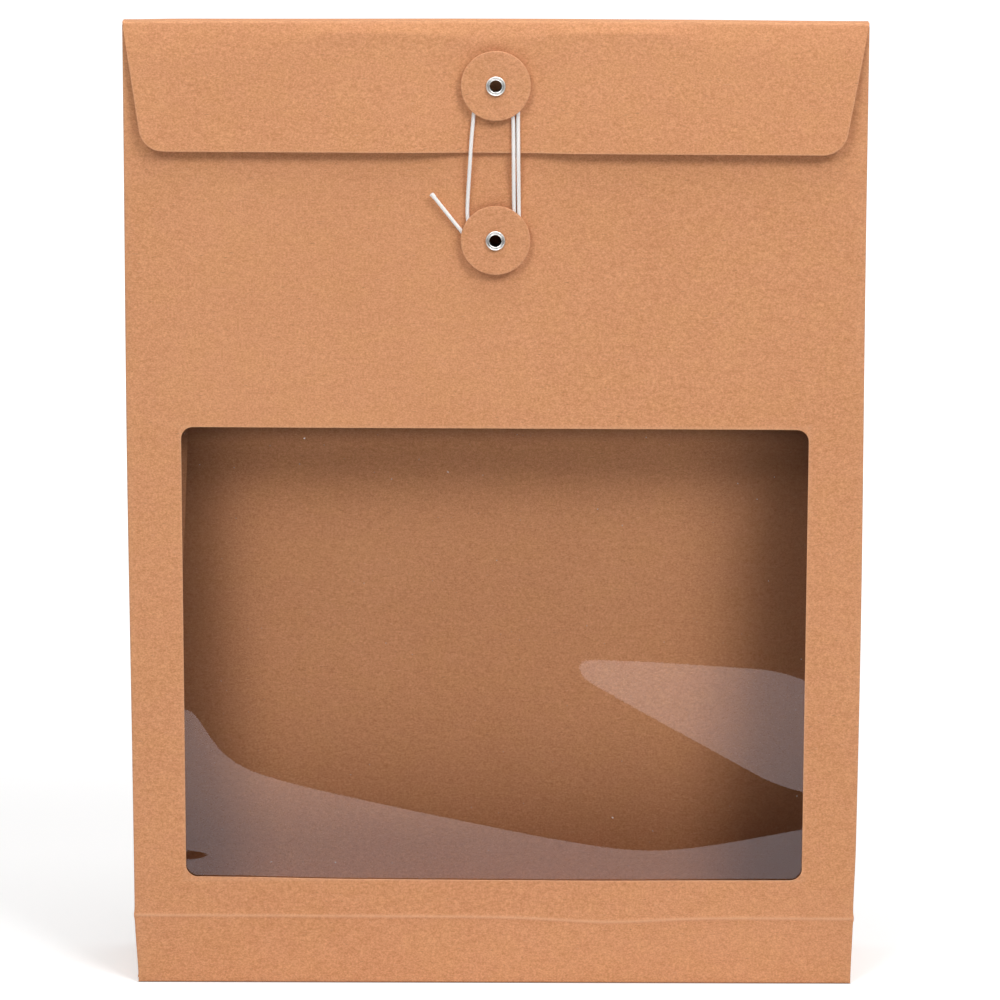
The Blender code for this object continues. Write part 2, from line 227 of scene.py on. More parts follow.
# Tint that turns the kraft card yellower in places
STRAW_TINT = (1.0, 1.014, 0.975)

# Colour of the painted shade in the inner folds and along the bottom fold
FOLD_SHADE = (0.10, 0.035, 0.015)

# Where the shade inside the pouch starts, where it is full, and its strength
SIDE_SHADE = (62 * MM, 108 * MM, 1.0)
TOP_SHADE = (179.5 * MM, 186 * MM, 0.85)
BASE_SHADE = (105 * MM, 35 * MM, 0.4)

# Colour of the shade painted on the metal down in the eyelets' bores and grooves
EYELET_HOLLOW_SHADE = (0.05, 0.035, 0.025)

# Share of light that the film's face mirrors when seen face-on, its tint and the colour of its dust
FILM_SHINE = 0.035
FILM_TINT = (0.92, 0.88, 0.95, 1.0)
FILM_DUST = (0.9, 0.88, 0.84, 1.0)

# How far the string's free end stands off the card, and the stretch that it eases off in
TAIL_LIFT = 0.85 * MM
TAIL_REACH = 16 * MM

# Fineness of the surfaces
FOLD_STEPS = np.linspace(0.0, 1.0, 6)
ARC_STEPS = 5
CURVE_STEPS = 12
STRING_SIDES = 18
STRING_STEP = 0.25 * MM
LATHE_SIDES = 96
WELD = 0.002 * MM
SHARP_ANGLE = math.radians(35)


def length_setting(name, description, default):
    """A size in metres that a user may change."""
    return bpy.props.FloatProperty(
        name=name, description=description, default=default, min=0.0, unit="LENGTH", precision=5
    )


def colour_setting(name, description, default):
    """A linear colour that a user may change."""
    return bpy.props.FloatVectorProperty(
        name=name, description=description, default=default, size=3, min=0.0, max=1.0, subtype="COLOR"
    )


class PouchSizes(bpy.types.PropertyGroup):
    """Sizes of the card, its folds, the film and the string."""

    card: length_setting("Card", "Thickness of the card", 0.5 * MM)
    film: length_setting("Film", "Thickness of the window film", 0.2 * MM)
    fold: length_setting("Fold", "Radius of the soft side folds", 0.6 * MM)
    score_ridge: length_setting("Score ridge", "How far the front score stands out", 0.22 * MM)
    flap_lift: length_setting("Flap lift", "How far the flap's low edge stands out at its sides", 1.8 * MM)
    flap_bend: length_setting("Flap bend", "How far the flap's top bends back", 1.2 * MM)
    left_press: length_setting("Left press", "Extra tuck of the left gusset crease", 1.2 * MM)
    right_slack: length_setting("Right slack", "How far the right gusset crease stands back", 0.6 * MM)
    string: length_setting("String", "Diameter of the string", 1.25 * MM)
    twist: length_setting("Twist", "Length of one full twist of the string", 4.2 * MM)


class PouchColours(bpy.types.PropertyGroup):
    """Colours of the card, the discs, the metal and the string."""

    kraft: colour_setting("Kraft", "Kraft card", (0.672, 0.303, 0.143))
    disc: colour_setting("Disc", "Card of the discs", (0.665, 0.302, 0.145))
    worn: colour_setting("Worn", "Card fibres on folds and cut edges", (0.80, 0.45, 0.27))
    nickel: colour_setting("Nickel", "Metal of the eyelets", (0.88, 0.87, 0.85))
    cotton: colour_setting("Cotton", "String", (0.97, 0.92, 0.89))


def sizes():
    """The sizes set in the scene."""
    return bpy.context.scene.pouch_sizes


def colours():
    """The colours set in the scene."""
    return bpy.context.scene.pouch_colours


def bell(t):
    """Bell curve, one at zero and falling to about a third at one."""
    return np.exp(-t * t)


def ease(t):
    """Smooth step from zero to one."""
    t = np.clip(t, 0.0, 1.0)
    return t * t * (3.0 - 2.0 * t)


def stack(*parts):
    """Arrays broadcast together as the last axis of one array."""
    return np.stack(np.broadcast_arrays(*parts), axis=-1)


def bezier(a, b, c, d, t):
    """Points of a cubic Bezier curve from a to d, drawn towards b and c on the way."""
    return (1 - t) ** 3 * a + 3 * t * (1 - t) ** 2 * b + 3 * t**2 * (1 - t) * c + t**3 * d


def grid_patch(points):
    """Rows and columns of points with one four-sided face between each four neighbours."""
    rows, columns = points.shape[:2]
    index = np.arange(rows * columns).reshape(rows, columns)
    faces = stack(index[:-1, :-1], index[:-1, 1:], index[1:, 1:], index[1:, :-1])
    return points.reshape(-1, 3), faces.reshape(-1, 4)


def ring_patch(points):
    """Rings of points from a hole outwards, each ring closed on itself."""
    rings, count = points.shape[:2]
    index = np.arange(rings * count).reshape(rings, count)
    after = np.roll(index, -1, axis=1)
    faces = stack(index[:-1], index[1:], after[1:], after[:-1])
    return points.reshape(-1, 3), faces.reshape(-1, 4)


def joined(patches):
    """Patches put together as one array of points and one of faces."""
    counts = np.cumsum([0] + [len(points) for points, faces in patches])
    points = np.concatenate([points for points, faces in patches])
    faces = np.concatenate([faces + start for (_, faces), start in zip(patches, counts)])
    return points, faces


def make_piece(name, points, faces, marks, outward):
    """Object at the origin, with doubles welded and every face turned out.

    Marks is one value for each point, kept as the attribute that the materials read.
    Outward is a point on the surface and the direction that its face looks to.
    """
    mesh = bpy.data.meshes.new(name)
    mesh.from_pydata(points.tolist(), [], faces.tolist())
    mesh.attributes.new("mark", "FLOAT", "POINT").data.foreach_set("value", marks.astype(np.float32))
    bm = bmesh.new()
    bm.from_mesh(mesh)
    bmesh.ops.remove_doubles(bm, verts=bm.verts[:], dist=WELD)
    bmesh.ops.recalc_face_normals(bm, faces=bm.faces[:])
    bm.to_mesh(mesh)
    bm.free()
    centres, normals = np.empty((2, len(mesh.polygons), 3), np.float32)
    mesh.polygons.foreach_get("center", centres.ravel())
    mesh.polygons.foreach_get("normal", normals.ravel())
    nearest = np.argmin(np.linalg.norm(centres - np.array(outward[0]), axis=1))
    if normals[nearest] @ np.array(outward[1]) < 0:
        mesh.flip_normals()
    mesh.shade_smooth()
    mesh.set_sharp_from_angle(angle=SHARP_ANGLE)
    made = bpy.data.objects.new(name, mesh)
    bpy.context.scene.collection.objects.link(made)
    return made


def thicken(piece, thickness):
    """Gives a sheet its thickness on its inner side, with its second and third material there.

    The second is for the inner faces and the third for the cut edges.
    """
    solid = piece.modifiers.new("thickness", "SOLIDIFY")
    solid.thickness = thickness
    solid.offset = -1.0
    solid.material_offset = 1
    solid.material_offset_rim = 2
    seen = piece.evaluated_get(bpy.context.evaluated_depsgraph_get())
    mesh = bpy.data.meshes.new_from_object(seen)
    piece.modifiers.clear()
    piece.data = mesh
    mesh.shade_smooth()
    mesh.set_sharp_from_angle(angle=SHARP_ANGLE)


def finish_with(piece, *materials):
    """Puts the materials in the piece's slots: the faces, the inner faces and the cut edges."""
    piece.data.materials.clear()
    for material in materials:
        piece.data.materials.append(material)


def set_inputs(node, values):
    """Puts plain values on a node's own inputs."""
    for key, value in values.items():
        node.inputs[key].default_value = value


def add_node(tree, kind, settings=None, values=None):
    """New shader node with its settings and the values of its unlinked inputs."""
    made = tree.nodes.new(kind)
    for key, value in (settings or {}).items():
        setattr(made, key, value)
    set_inputs(made, values or {})
    return made


def new_finish(name):
    """Material with its node tree and its Principled shader."""
    material = bpy.data.materials.new(name)
    material.use_nodes = True
    tree = material.node_tree
    return material, tree, tree.nodes["Principled BSDF"]


def noise_on(tree, scale, detail, roughness=0.55, turn=0.0):
    """Noise on Object coordinates, stretched by a scale for each axis and turned about Y."""
    place = add_node(tree, "ShaderNodeTexCoord")
    mapping = add_node(tree, "ShaderNodeMapping", values={"Scale": scale, "Rotation": (0.0, turn, 0.0)})
    noise = add_node(
        tree, "ShaderNodeTexNoise", values={"Scale": 1.0, "Detail": detail, "Roughness": roughness}
    )
    tree.links.new(place.outputs["Object"], mapping.inputs["Vector"])
    tree.links.new(mapping.outputs["Vector"], noise.inputs["Vector"])
    return noise.outputs["Fac"]


def worked_out(tree, operation, *terms):
    """Result of a math node, whose terms are outputs of other nodes or plain numbers."""
    node = add_node(tree, "ShaderNodeMath", {"operation": operation})
    for term, socket in zip(terms, node.inputs):
        if isinstance(term, bpy.types.NodeSocket):
            tree.links.new(term, socket)
        else:
            socket.default_value = term
    return node.outputs["Value"]


def scaled_sum(tree, terms, total):
    """A starting number plus each output times its weight."""
    for output, weight in terms:
        total = worked_out(tree, "MULTIPLY_ADD", output, weight, total)
    return total


def between(tree, output, low, high, top):
    """Output mapped smoothly from zero at low to top at high."""
    node = add_node(
        tree,
        "ShaderNodeMapRange",
        {"interpolation_type": "SMOOTHSTEP"},
        {"From Min": low, "From Max": high, "To Min": 0.0, "To Max": top},
    )
    tree.links.new(output, node.inputs["Value"])
    return node.outputs["Result"]


def mixed(tree, share, first, second, way="MIX"):
    """First colour with the second mixed in by a share; first is an output, second a colour."""
    node = add_node(tree, "ShaderNodeMixRGB", {"blend_type": way}, {"Color2": (*second, 1.0)})
    tree.links.new(share, node.inputs["Fac"])
    tree.links.new(first, node.inputs["Color1"])
    return node.outputs["Color"]


def toned(tree, tone, deep, pale):
    """Colour that runs from deep to pale as a tone runs from zero to one."""
    ramp = add_node(tree, "ShaderNodeValToRGB")
    for stop, colour in zip(ramp.color_ramp.elements, (deep, pale)):
        stop.color = (*colour, 1.0)
    tree.links.new(tone, ramp.inputs["Fac"])
    return ramp.outputs["Color"]


def roughen(tree, shader, height, strength, distance):
    """Bumps the shader's surface by a height, which at one is the distance."""
    bump = add_node(tree, "ShaderNodeBump", values={"Strength": strength, "Distance": distance})
    tree.links.new(height, bump.inputs["Height"])
    tree.links.new(bump.outputs["Normal"], shader.inputs["Normal"])


def layered(tree, share, under, over):
    """One shader with another laid over it by a share."""
    node = add_node(tree, "ShaderNodeMixShader")
    tree.links.new(share, node.inputs["Fac"])
    tree.links.new(under, node.inputs[1])
    tree.links.new(over, node.inputs[2])
    return node.outputs["Shader"]


def mark_of(tree):
    """The mark that make_piece keeps for each point."""
    return add_node(tree, "ShaderNodeAttribute", {"attribute_name": "mark"}).outputs["Fac"]


def object_place(tree):
    """X, Y and Z of the Object coordinates."""
    place = add_node(tree, "ShaderNodeTexCoord")
    parts = add_node(tree, "ShaderNodeSeparateXYZ")
    tree.links.new(place.outputs["Object"], parts.inputs["Vector"])
    return parts.outputs


def shaded(colour, factor):
    """A colour made lighter or darker by a factor, within white."""
    return tuple(min(part * factor, 1.0) for part in colour)


def paled(colour, amount):
    """A colour moved towards pale, or towards deep below zero: blue moves most and red least."""
    return tuple(part * (1.0 + amount * weight) for part, weight in zip(colour, PALE_WEIGHTS))


def inside_place(tree):
    """Distance to either side from a line a little left of the pouch's middle, and height."""
    x, _, z = object_place(tree)
    off_middle = 7 * MM
    return worked_out(tree, "ABSOLUTE", scaled_sum(tree, ((x, 1.0),), off_middle)), z


def kraft_finish(name, colour, worn_share, fold_shade=0.0):
    """Kraft card: cloudy tone, specks, faint grain along the sheet, fibres, worn marks, painted shade.

    Colour runs from dark to light with a weighted sum of cloud, speck and grain noise, and a slow
    noise turns it yellower in places. Sparse peaks of stretched noises lay dark and pale fibres
    over it. The mark attribute brings in the paler torn fibres of folds and cut edges, and painted
    shade where it is negative. The fold shade, painted too, darkens it towards the sides, the
    window's top and the base.
    """
    material, tree, shader = new_finish(name)
    noises = [(noise_on(tree, *noise), weight) for *noise, weight in CARD_NOISES]
    tone = scaled_sum(tree, noises, CARD_LEVEL)
    look = toned(tree, tone, paled(colour, -CARD_CONTRAST), paled(colour, CARD_CONTRAST))
    straw = between(tree, noise_on(tree, (75.0, 75.0, 120.0), 3.0), 0.40, 0.64, 1.0)
    look = mixed(tree, straw, look, STRAW_TINT, "MULTIPLY")
    dark = between(tree, noise_on(tree, (420.0, 420.0, 2200.0), 1.0, turn=0.9), 0.72, 0.78, 0.4)
    pale = between(tree, noise_on(tree, (420.0, 420.0, 2400.0), 1.0, turn=-0.5), 0.70, 0.80, 0.45)
    look = mixed(tree, dark, look, shaded(colour, 0.42))
    look = mixed(tree, pale, look, colours().worn)
    mark = mark_of(tree)
    look = mixed(tree, scaled_sum(tree, ((mark, 0.55),), worn_share), look, colours().worn)
    # A mark below zero mixes in painted shade along the bottom fold
    look = mixed(tree, between(tree, mark, 0.0, -1.0, 0.85), look, FOLD_SHADE)
    if fold_shade:
        far, height = inside_place(tree)
        for place, shade in ((far, SIDE_SHADE), (height, TOP_SHADE), (height, BASE_SHADE)):
            start, full, strength = shade
            look = mixed(tree, between(tree, place, start, full, strength * fold_shade), look, FOLD_SHADE)
    tree.links.new(look, shader.inputs["Base Color"])
    roughen(tree, shader, tone, 0.35, 0.08 * MM)
    set_inputs(shader, {"Roughness": 0.82, "Specular IOR Level": 0.4})
    return material


def film_finish():
    """Clear film: light passes straight through, gloss grows towards the edge-on, dust lies on it.

    The share of gloss is that of a face-on sheet, plus the rest times the fifth power of how
    edge-on the film is seen.
    """
    material, tree, shader = new_finish("pouch_film")
    tree.nodes.remove(shader)
    clear = add_node(tree, "ShaderNodeBsdfTransparent").outputs["BSDF"]
    gloss = add_node(tree, "ShaderNodeBsdfGlossy", values={"Color": FILM_TINT, "Roughness": 0.012})
    facing = add_node(tree, "ShaderNodeLayerWeight", values={"Blend": 0.5}).outputs["Facing"]
    edge_on = worked_out(tree, "POWER", facing, 5.0)
    shine = scaled_sum(tree, ((edge_on, 1.0 - FILM_SHINE),), FILM_SHINE)
    sheet = layered(tree, shine, clear, gloss.outputs["BSDF"])
    dust = add_node(tree, "ShaderNodeBsdfDiffuse", values={"Color": FILM_DUST}).outputs["BSDF"]
    dusty = between(tree, noise_on(tree, (900.0, 900.0, 900.0), 1.0), 0.80, 0.84, 0.6)
    whole = layered(tree, dusty, sheet, dust)
    tree.links.new(whole, tree.nodes["Material Output"].inputs["Surface"])
    return material


def nickel_finish():
    """Pressed nickel: fine scuffs vary its tone, roughness and surface; marked hollows get painted shade.
    """
    material, tree, shader = new_finish("pouch_nickel")
    scuffs = noise_on(tree, (1500.0, 1500.0, 1500.0), 3.0)
    metal = toned(tree, scuffs, shaded(colours().nickel, 0.82), shaded(colours().nickel, 1.12))
    look = mixed(tree, mark_of(tree), metal, EYELET_HOLLOW_SHADE)
    tree.links.new(look, shader.inputs["Base Color"])
    tree.links.new(scaled_sum(tree, ((scuffs, 0.12),), 0.24), shader.inputs["Roughness"])
    roughen(tree, shader, scuffs, 0.15, 0.02 * MM)
    set_inputs(shader, {"Metallic": 1.0})
    return material


def cotton_finish():
    """Twisted cotton: painted shade, pale on each ply's crown and greyer in the grooves; fine fibre noise.
    """
    material, tree, shader = new_finish("pouch_cotton")
    fibre = noise_on(tree, (2600.0, 2600.0, 2600.0), 3.0)
    tone = scaled_sum(tree, ((fibre, 0.5), (mark_of(tree), 0.15)), 0.35)
    look = toned(tree, tone, shaded(colours().cotton, 0.85), shaded(colours().cotton, 1.1))
    tree.links.new(look, shader.inputs["Base Color"])
    roughen(tree, shader, fibre, 0.5, 0.06 * MM)
    set_inputs(shader, {"Roughness": 0.9, "Sheen Weight": 0.25})
    return material


def card_finish(name="pouch_card", brightness=1.0, worn_share=0.0, fold_shade=0.0):
    """Finish of the card, made on first use. As it stands, that of the outside."""
    found = bpy.data.materials.get(name)
    return found or kraft_finish(name, shaded(colours().kraft, brightness), worn_share, fold_shade)


def inside_finish():
    """Card inside the pouch: darkened a little all over and towards its folds, as painted shade."""
    return card_finish("pouch_card_inside", brightness=0.92, fold_shade=0.62)


def edge_finish():
    """Cut edges of the card, pale with torn fibres."""
    return card_finish("pouch_card_edge", worn_share=0.45)


def back_y(z):
    """Outer face of the back, which leans forwards from the base to the spine."""
    return BACK_Y + (BACK_TOP_Y - BACK_Y) * z / TOP


def half_depth(z):
    """Half the depth between the gussets' outer faces, which lie within those of the front and back."""
    return (back_y(z) - FRONT_Y) / 2 - fold_space()


def fold_space():
    """Step from a panel's outer face to that of the gusset half folded back behind it."""
    return 2.1 * sizes().card


def rise(z):
    """Share of the way from the sheet's low edge to the mouth."""
    return np.clip((z - SHEET_LOW) / (MOUTH - SHEET_LOW), 0.0, 1.0)


def crease_tuck(share, side):
    """How far a gusset's middle crease folds in, at a share of the way from its foot to the mouth.

    Each half keeps its cut width, so the tuck is the other leg of a right triangle with the half
    depth. The left crease is pressed in a little further and the right one stands back a little,
    both most of all at the window's top.
    """
    z = SCORE + share * (MOUTH - SCORE)
    tuck = np.sqrt(np.maximum(half_depth(SCORE) ** 2 - half_depth(z) ** 2, 0.0))
    press = np.where(side < 0, sizes().left_press, -sizes().right_slack)
    return tuck + press * bell((z - 185 * MM) / (90 * MM)) * ease(share / 0.25)


def gusset_way(z, share, side, facing):
    """Unit direction along a gusset half from its fold, and the half's width."""
    tuck, half = crease_tuck(share, side), half_depth(z)
    width = np.hypot(tuck, half)
    return stack(-side * tuck / width, -facing * half / width), width


def from_fold(corner, own, other_corner, other, distance):
    """Point of a panel at a distance from its fold, seen from above.

    Past the fold radius it lies on the panel's own direction. Within it, it lies on one half of a
    Bezier curve that leaves along this panel and arrives along the neighbouring one.
    """
    radius = sizes().fold
    t = 0.5 * (1.0 - np.clip(distance / radius, 0.0, 1.0))[..., None]
    start, end = corner + radius * own, other_corner + radius * other
    pull = 1.25 * radius
    near = bezier(start, start - pull * own, end - pull * other, end, t)
    far = corner + own * distance[..., None]
    return np.where((distance < radius)[..., None], near, far)


def fold_corner(z, side, facing, inset=0.0):
    """Place of a side fold seen from above: at the front (facing -1) or at the back (facing +1)."""
    fold_y = np.full_like(z, FRONT_Y) if facing < 0 else back_y(z)
    return stack(side * HALF_WIDTH, fold_y - facing * inset)


def flat_panel(x, z, facing):
    """Front (facing -1) or back (facing +1) panel over x and z, soft at its two side folds."""
    x, z = np.broadcast_arrays(x, z)
    side = np.where(x < 0, -1.0, 1.0)
    other, _ = gusset_way(z, rise(z), side, facing)
    own = stack(-side, np.zeros_like(x))
    corner, behind = fold_corner(z, side, facing), fold_corner(z, side, facing, fold_space())
    level = from_fold(corner, own, behind, other, HALF_WIDTH - np.abs(x))
    return stack(level[..., 0], level[..., 1], z)


def gusset_sheet(z, share, side, facing, across):
    """Points of a gusset half at heights and at shares of its width from the fold."""
    own, width = gusset_way(z, share, side, facing)
    corner, before = fold_corner(z, side, facing, fold_space()), fold_corner(z, side, facing)
    level = from_fold(corner, own, before, stack(-side, 0.0), across * width)
    return stack(level[..., 0], level[..., 1], z)


def gusset_half(side, facing, across, up):
    """Half of a gusset over its width and height, twisting as the crease tucks in.

    Its low edge is the foot diagonal, which climbs from the base corner to the score.
    """
    foot = SHEET_LOW + across * (SCORE - SHEET_LOW)
    return gusset_sheet(foot + up * (MOUTH - foot), up, side, facing, across)


def gusset_foot(side, facing, across, up):
    """Half of the flat foot triangle under a gusset, from the base to the foot diagonal."""
    z = SHEET_LOW + up * across * (SCORE - SHEET_LOW)
    return gusset_sheet(z, np.zeros_like(z), side, facing, across)


def sheet_columns():
    """Columns across the sheet, crowded at the two side folds."""
    crowd = FOLD_STEPS * sizes().fold
    middle = np.linspace(-115 * MM, 115 * MM, 47)
    return np.concatenate([crowd - HALF_WIDTH, middle, HALF_WIDTH - crowd[::-1]])


def foot_rows():
    """Heights from the low edge to below the window, crowded at the score."""
    crowd = np.array([-2.0, -1.2, -0.8, -0.5, -0.25, 0.0, 0.25, 0.5, 0.8, 1.2, 2.0]) * MM
    low = np.array([2.0, 4.0, 7.0, 10.5, 14.0, 17.0, 19.0]) * MM
    high = np.array([26 * MM, 28 * MM, BELOW_WINDOW])
    return np.concatenate([[SHEET_LOW], low, SCORE + crowd, high])


def window_rows():
    """Even heights from below the window to above it."""
    return np.linspace(BELOW_WINDOW, ABOVE_WINDOW, 41)


def upper_rows():
    """Even heights from above the window to the mouth."""
    return np.linspace(ABOVE_WINDOW, MOUTH, 29)


def side_loop(along, reach, radius, steps, centre):
    """Closed loop of a rectangle with round corners, from the middle of its low left corner.

    Each side runs half an arc, a straight stretch and half an arc. Steps gives the number of points
    on the level and on the upright sides.
    """
    loop = []
    turns = ((1, 0, 0, -1), (0, 1, 1, 0), (-1, 0, 0, 1), (0, -1, -1, 0))
    spans = ((along, reach, steps[0]), (reach, along, steps[1])) * 2
    for (ux, uz, vx, vz), (half, out, count) in zip(turns, spans):
        arc = np.linspace(-math.pi / 4, 0.0, ARC_STEPS + 1)[:-1]
        straight = np.linspace(radius - half, half - radius, count - 2 * ARC_STEPS + 1)
        round_u = radius - half + radius * np.sin(arc)
        round_v = out - radius + radius * np.cos(arc)
        u = np.concatenate([round_u, straight, -round_u[::-1]])
        v = np.concatenate([round_v, np.full_like(straight, out), round_v[::-1]])
        loop.append(stack(centre[0] + u * ux + v * vx, centre[1] + u * uz + v * vz)[:-1])
    return np.concatenate(loop)


def circle_loop(radius, steps, centre):
    """Closed circle with as many points to each quarter as the sides of a box round it."""
    counts = (steps[0], steps[1]) * 2
    starts = np.radians([-135.0, -45.0, 45.0, 135.0])
    angles = np.concatenate(
        [start + np.arange(count) / count * math.pi / 2 for start, count in zip(starts, counts)]
    )
    return stack(centre[0] + radius * np.cos(angles), centre[1] + radius * np.sin(angles))


def box_loop(columns, rows):
    """Closed loop round a box of given columns and rows, from its low left corner."""
    low, right = stack(columns, rows[0]), stack(columns[-1], rows)
    high, left = stack(columns[::-1], rows[-1]), stack(columns[0], rows[::-1])
    return np.concatenate([low[:-1], right[:-1], high[:-1], left[:-1]])


def rings_between(inner, outer, shares):
    """Rings at given shares of the way from an inner loop to an outer one."""
    return inner + (outer - inner) * np.asarray(shares)[:, None, None]


def edge_shares(inner_shares, distance):
    """Shares of the way outwards, with the last ones crowded within a fold radius of the edge."""
    crowd = 1.0 - FOLD_STEPS[::-1] * sizes().fold / distance
    return np.concatenate([inner_shares, crowd])


def score_shift(x):
    """How far the front score wanders up or down: a slope with one dip right of the middle."""
    middle, slope, dip = 0.65 * MM, 0.003, 1.54 * MM
    return middle - slope * x - dip * bell((x - 38 * MM) / (22 * MM))


def card_wave(x, z):
    """Slow waves of the front sheet, a few tenths of a millimetre."""
    across = np.sin(x / (31 * MM) + 0.7) * np.sin(z / (48 * MM) + 0.4)
    along = np.sin(x / (58 * MM) - 1.1) * np.cos(z / (70 * MM))
    return (0.10 * across + 0.16 * along) * MM * ease((z - 4 * MM) / (20 * MM))


def body_marks(points):
    """Wear on the score, the side folds and the window's edge, and painted shade, below zero, at the
    bottom.
    """
    x, y, z = points[:, 0], points[:, 1], points[:, 2]
    front = bell((y - FRONT_Y) / (0.7 * MM))
    score = bell((z - SCORE) / (0.45 * MM))
    folds = 0.45 * bell((HALF_WIDTH - np.abs(x)) / (0.5 * MM))
    middle, reach = (WINDOW_HIGH + WINDOW_LOW) / 2, (WINDOW_HIGH - WINDOW_LOW) / 2
    beyond = np.maximum(np.abs(x) - WINDOW_HALF, np.abs(z - middle) - reach)
    cut = 0.5 * bell(beyond / (0.5 * MM))
    # Painted shade along the bottom fold, where the card meets the floor
    painted_bottom_shade = bell(z / (0.5 * MM)) * bell((y - FRONT_Y) / (2.5 * MM))
    top = 0.5 * bell(np.hypot(y - BACK_TOP_Y, z - TOP) / (0.7 * MM))
    return front * np.maximum(np.maximum(score, folds), cut) + top - painted_bottom_shade


def body_relief(points):
    """Moves the flat sheet by its score ridge, the ends of the score, its waves and its wander.

    Below the score the front draws in a little towards the bottom. Above it the two sides bow out,
    the right one most.
    """
    x, y, z = points[:, 0].copy(), points[:, 1].copy(), points[:, 2].copy()
    front = bell((y - FRONT_Y) / (0.7 * MM))
    ridge = sizes().score_ridge * bell((z - SCORE) / (0.7 * MM))
    nub = bell((HALF_WIDTH - np.abs(x)) / (2.0 * MM)) * bell((z - SCORE) / (1.6 * MM))
    x += np.sign(x) * 0.4 * MM * front * nub
    draw = np.where(x < 0, 0.0085, 0.0045) * ease((SCORE - z) / SCORE)
    x *= 1.0 - draw * bell((y - FRONT_Y) / (9 * MM))
    left_bow, right_bow = 0.5 * bell((z - 185 * MM) / (85 * MM)), 0.85 * bell((z - 118 * MM) / (105 * MM))
    bow = np.where(x < 0, left_bow, right_bow) * MM * ease((z - SCORE) / (25 * MM))
    x += np.sign(x) * bow * ease((np.abs(x) - 104 * MM) / (14 * MM))
    y -= front * (ridge + card_wave(x, z))
    z += score_shift(x) * bell((z - SCORE) / (7 * MM))
    return stack(x, y, z)


def base_flap_rows(columns):
    """The sheet below the front's low edge: round the bottom fold and under the base.

    The fold is a Bezier curve from the front down to the base, then the flap runs back and narrows.
    """
    t = np.linspace(0.0, 1.0, 6)[1:]
    y = np.concatenate([FRONT_Y + SHEET_LOW * t**2, FRONT_Y + np.array([3, 8, 14, 20, 27, 34, 40]) * MM])
    z = np.concatenate([SHEET_LOW * (1 - t) ** 2, np.zeros(7)])
    narrowing = 1.0 - 0.055 * ease((y - FRONT_Y - 2 * MM) / (60 * MM))
    first = flat_panel(columns, np.array([[SHEET_LOW]]), -1)
    rest = stack(columns * narrowing[:, None], y[:, None], z[:, None])
    return np.concatenate([first, rest])


def top_crown(x):
    """How far the top of the pouch rises in its middle and falls at its ends, at the right one sooner."""
    height = 0.25 * MM
    ends = np.where(x < 0, ease((-x - 100 * MM) / (18 * MM)), ease((x - 60 * MM) / (55 * MM)))
    return height * (bell(x / (55 * MM)) - ends)


def spine_root_rows(columns):
    """The sheet above the back: up to the top fold, round it and a few millimetres into the spine."""
    t = np.linspace(0.0, 1.0, 6)[1:]
    climb = np.array([MOUTH, TOP - BACK_TURN])
    panel = flat_panel(columns, climb[:, None], 1)
    start = back_y(TOP - BACK_TURN)
    y = (1 - t) ** 2 * start + 2 * t * (1 - t) * BACK_TOP_Y + t**2 * (BACK_TOP_Y - BACK_TURN)
    z = TOP - BACK_TURN * (1 - t) ** 2
    y = np.append(y, BACK_TOP_Y - SPINE_ROOT)
    z = np.append(z, TOP)
    level = columns * FLAP_FOLD_HALF / HALF_WIDTH
    return np.concatenate([panel, stack(level, y[:, None], z[:, None])])


def window_sag(loop):
    """The window's loop with its top edge falling to the right and its low edge curved up at the left."""
    x, z = loop[:, 0], loop[:, 1]
    share = (z - WINDOW_LOW) / (WINDOW_HIGH - WINDOW_LOW)
    fall, climb, sag = 0.0026, 0.8 * MM, 0.28 * MM
    high = -fall * (x + WINDOW_HALF)
    low = climb * ease((-x - 40 * MM) / (60 * MM)) - sag * bell((x - 25 * MM) / (50 * MM))
    return stack(x, z + share * high + (1.0 - share) * low)


def body_patches():
    """Patches of the one card sheet, flat between its folds."""
    columns, low, middle, high = sheet_columns(), foot_rows(), window_rows(), upper_rows()
    patches = [grid_patch(base_flap_rows(columns)), grid_patch(flat_panel(columns, low[:, None], -1))]
    steps = (len(columns) - 1, len(middle) - 1)
    centre = (0.0, (WINDOW_LOW + WINDOW_HIGH) / 2)
    hole = window_sag(side_loop(WINDOW_HALF, (WINDOW_HIGH - WINDOW_LOW) / 2, WINDOW_RADIUS, steps, centre))
    inner = np.array([0, 0.03, 0.08, 0.16, 0.26, 0.38, 0.5, 0.62, 0.74, 0.85])
    shares = edge_shares(inner, HALF_WIDTH - WINDOW_HALF)
    ring = rings_between(hole, box_loop(columns, middle), shares)
    patches.append(ring_patch(flat_panel(ring[..., 0], ring[..., 1], -1)))
    steps = (len(columns) - 1, len(high) - 1)
    hole = circle_loop(HOLE_RADIUS, steps, (0.0, LOWER_Z))
    inner = np.linspace(0.0, 0.985, 15) ** 2
    ring = rings_between(hole, box_loop(columns, high), edge_shares(inner, HALF_WIDTH))
    patches.append(ring_patch(flat_panel(ring[..., 0], ring[..., 1], -1)))
    rows = np.concatenate([low, middle[1:], high[1:]])
    patches.append(grid_patch(flat_panel(columns, rows[:, None], 1)))
    fold_share = sizes().fold / half_depth(SCORE)
    across = np.concatenate([FOLD_STEPS * fold_share, np.linspace(0.12, 1.0, 9)])
    for side in (-1.0, 1.0):
        for facing in (-1, 1):
            patches.append(grid_patch(gusset_half(side, facing, across, rise(rows)[:, None])))
            patches.append(grid_patch(gusset_foot(side, facing, across, np.linspace(0, 1, 9)[:, None])))
    return joined(patches)


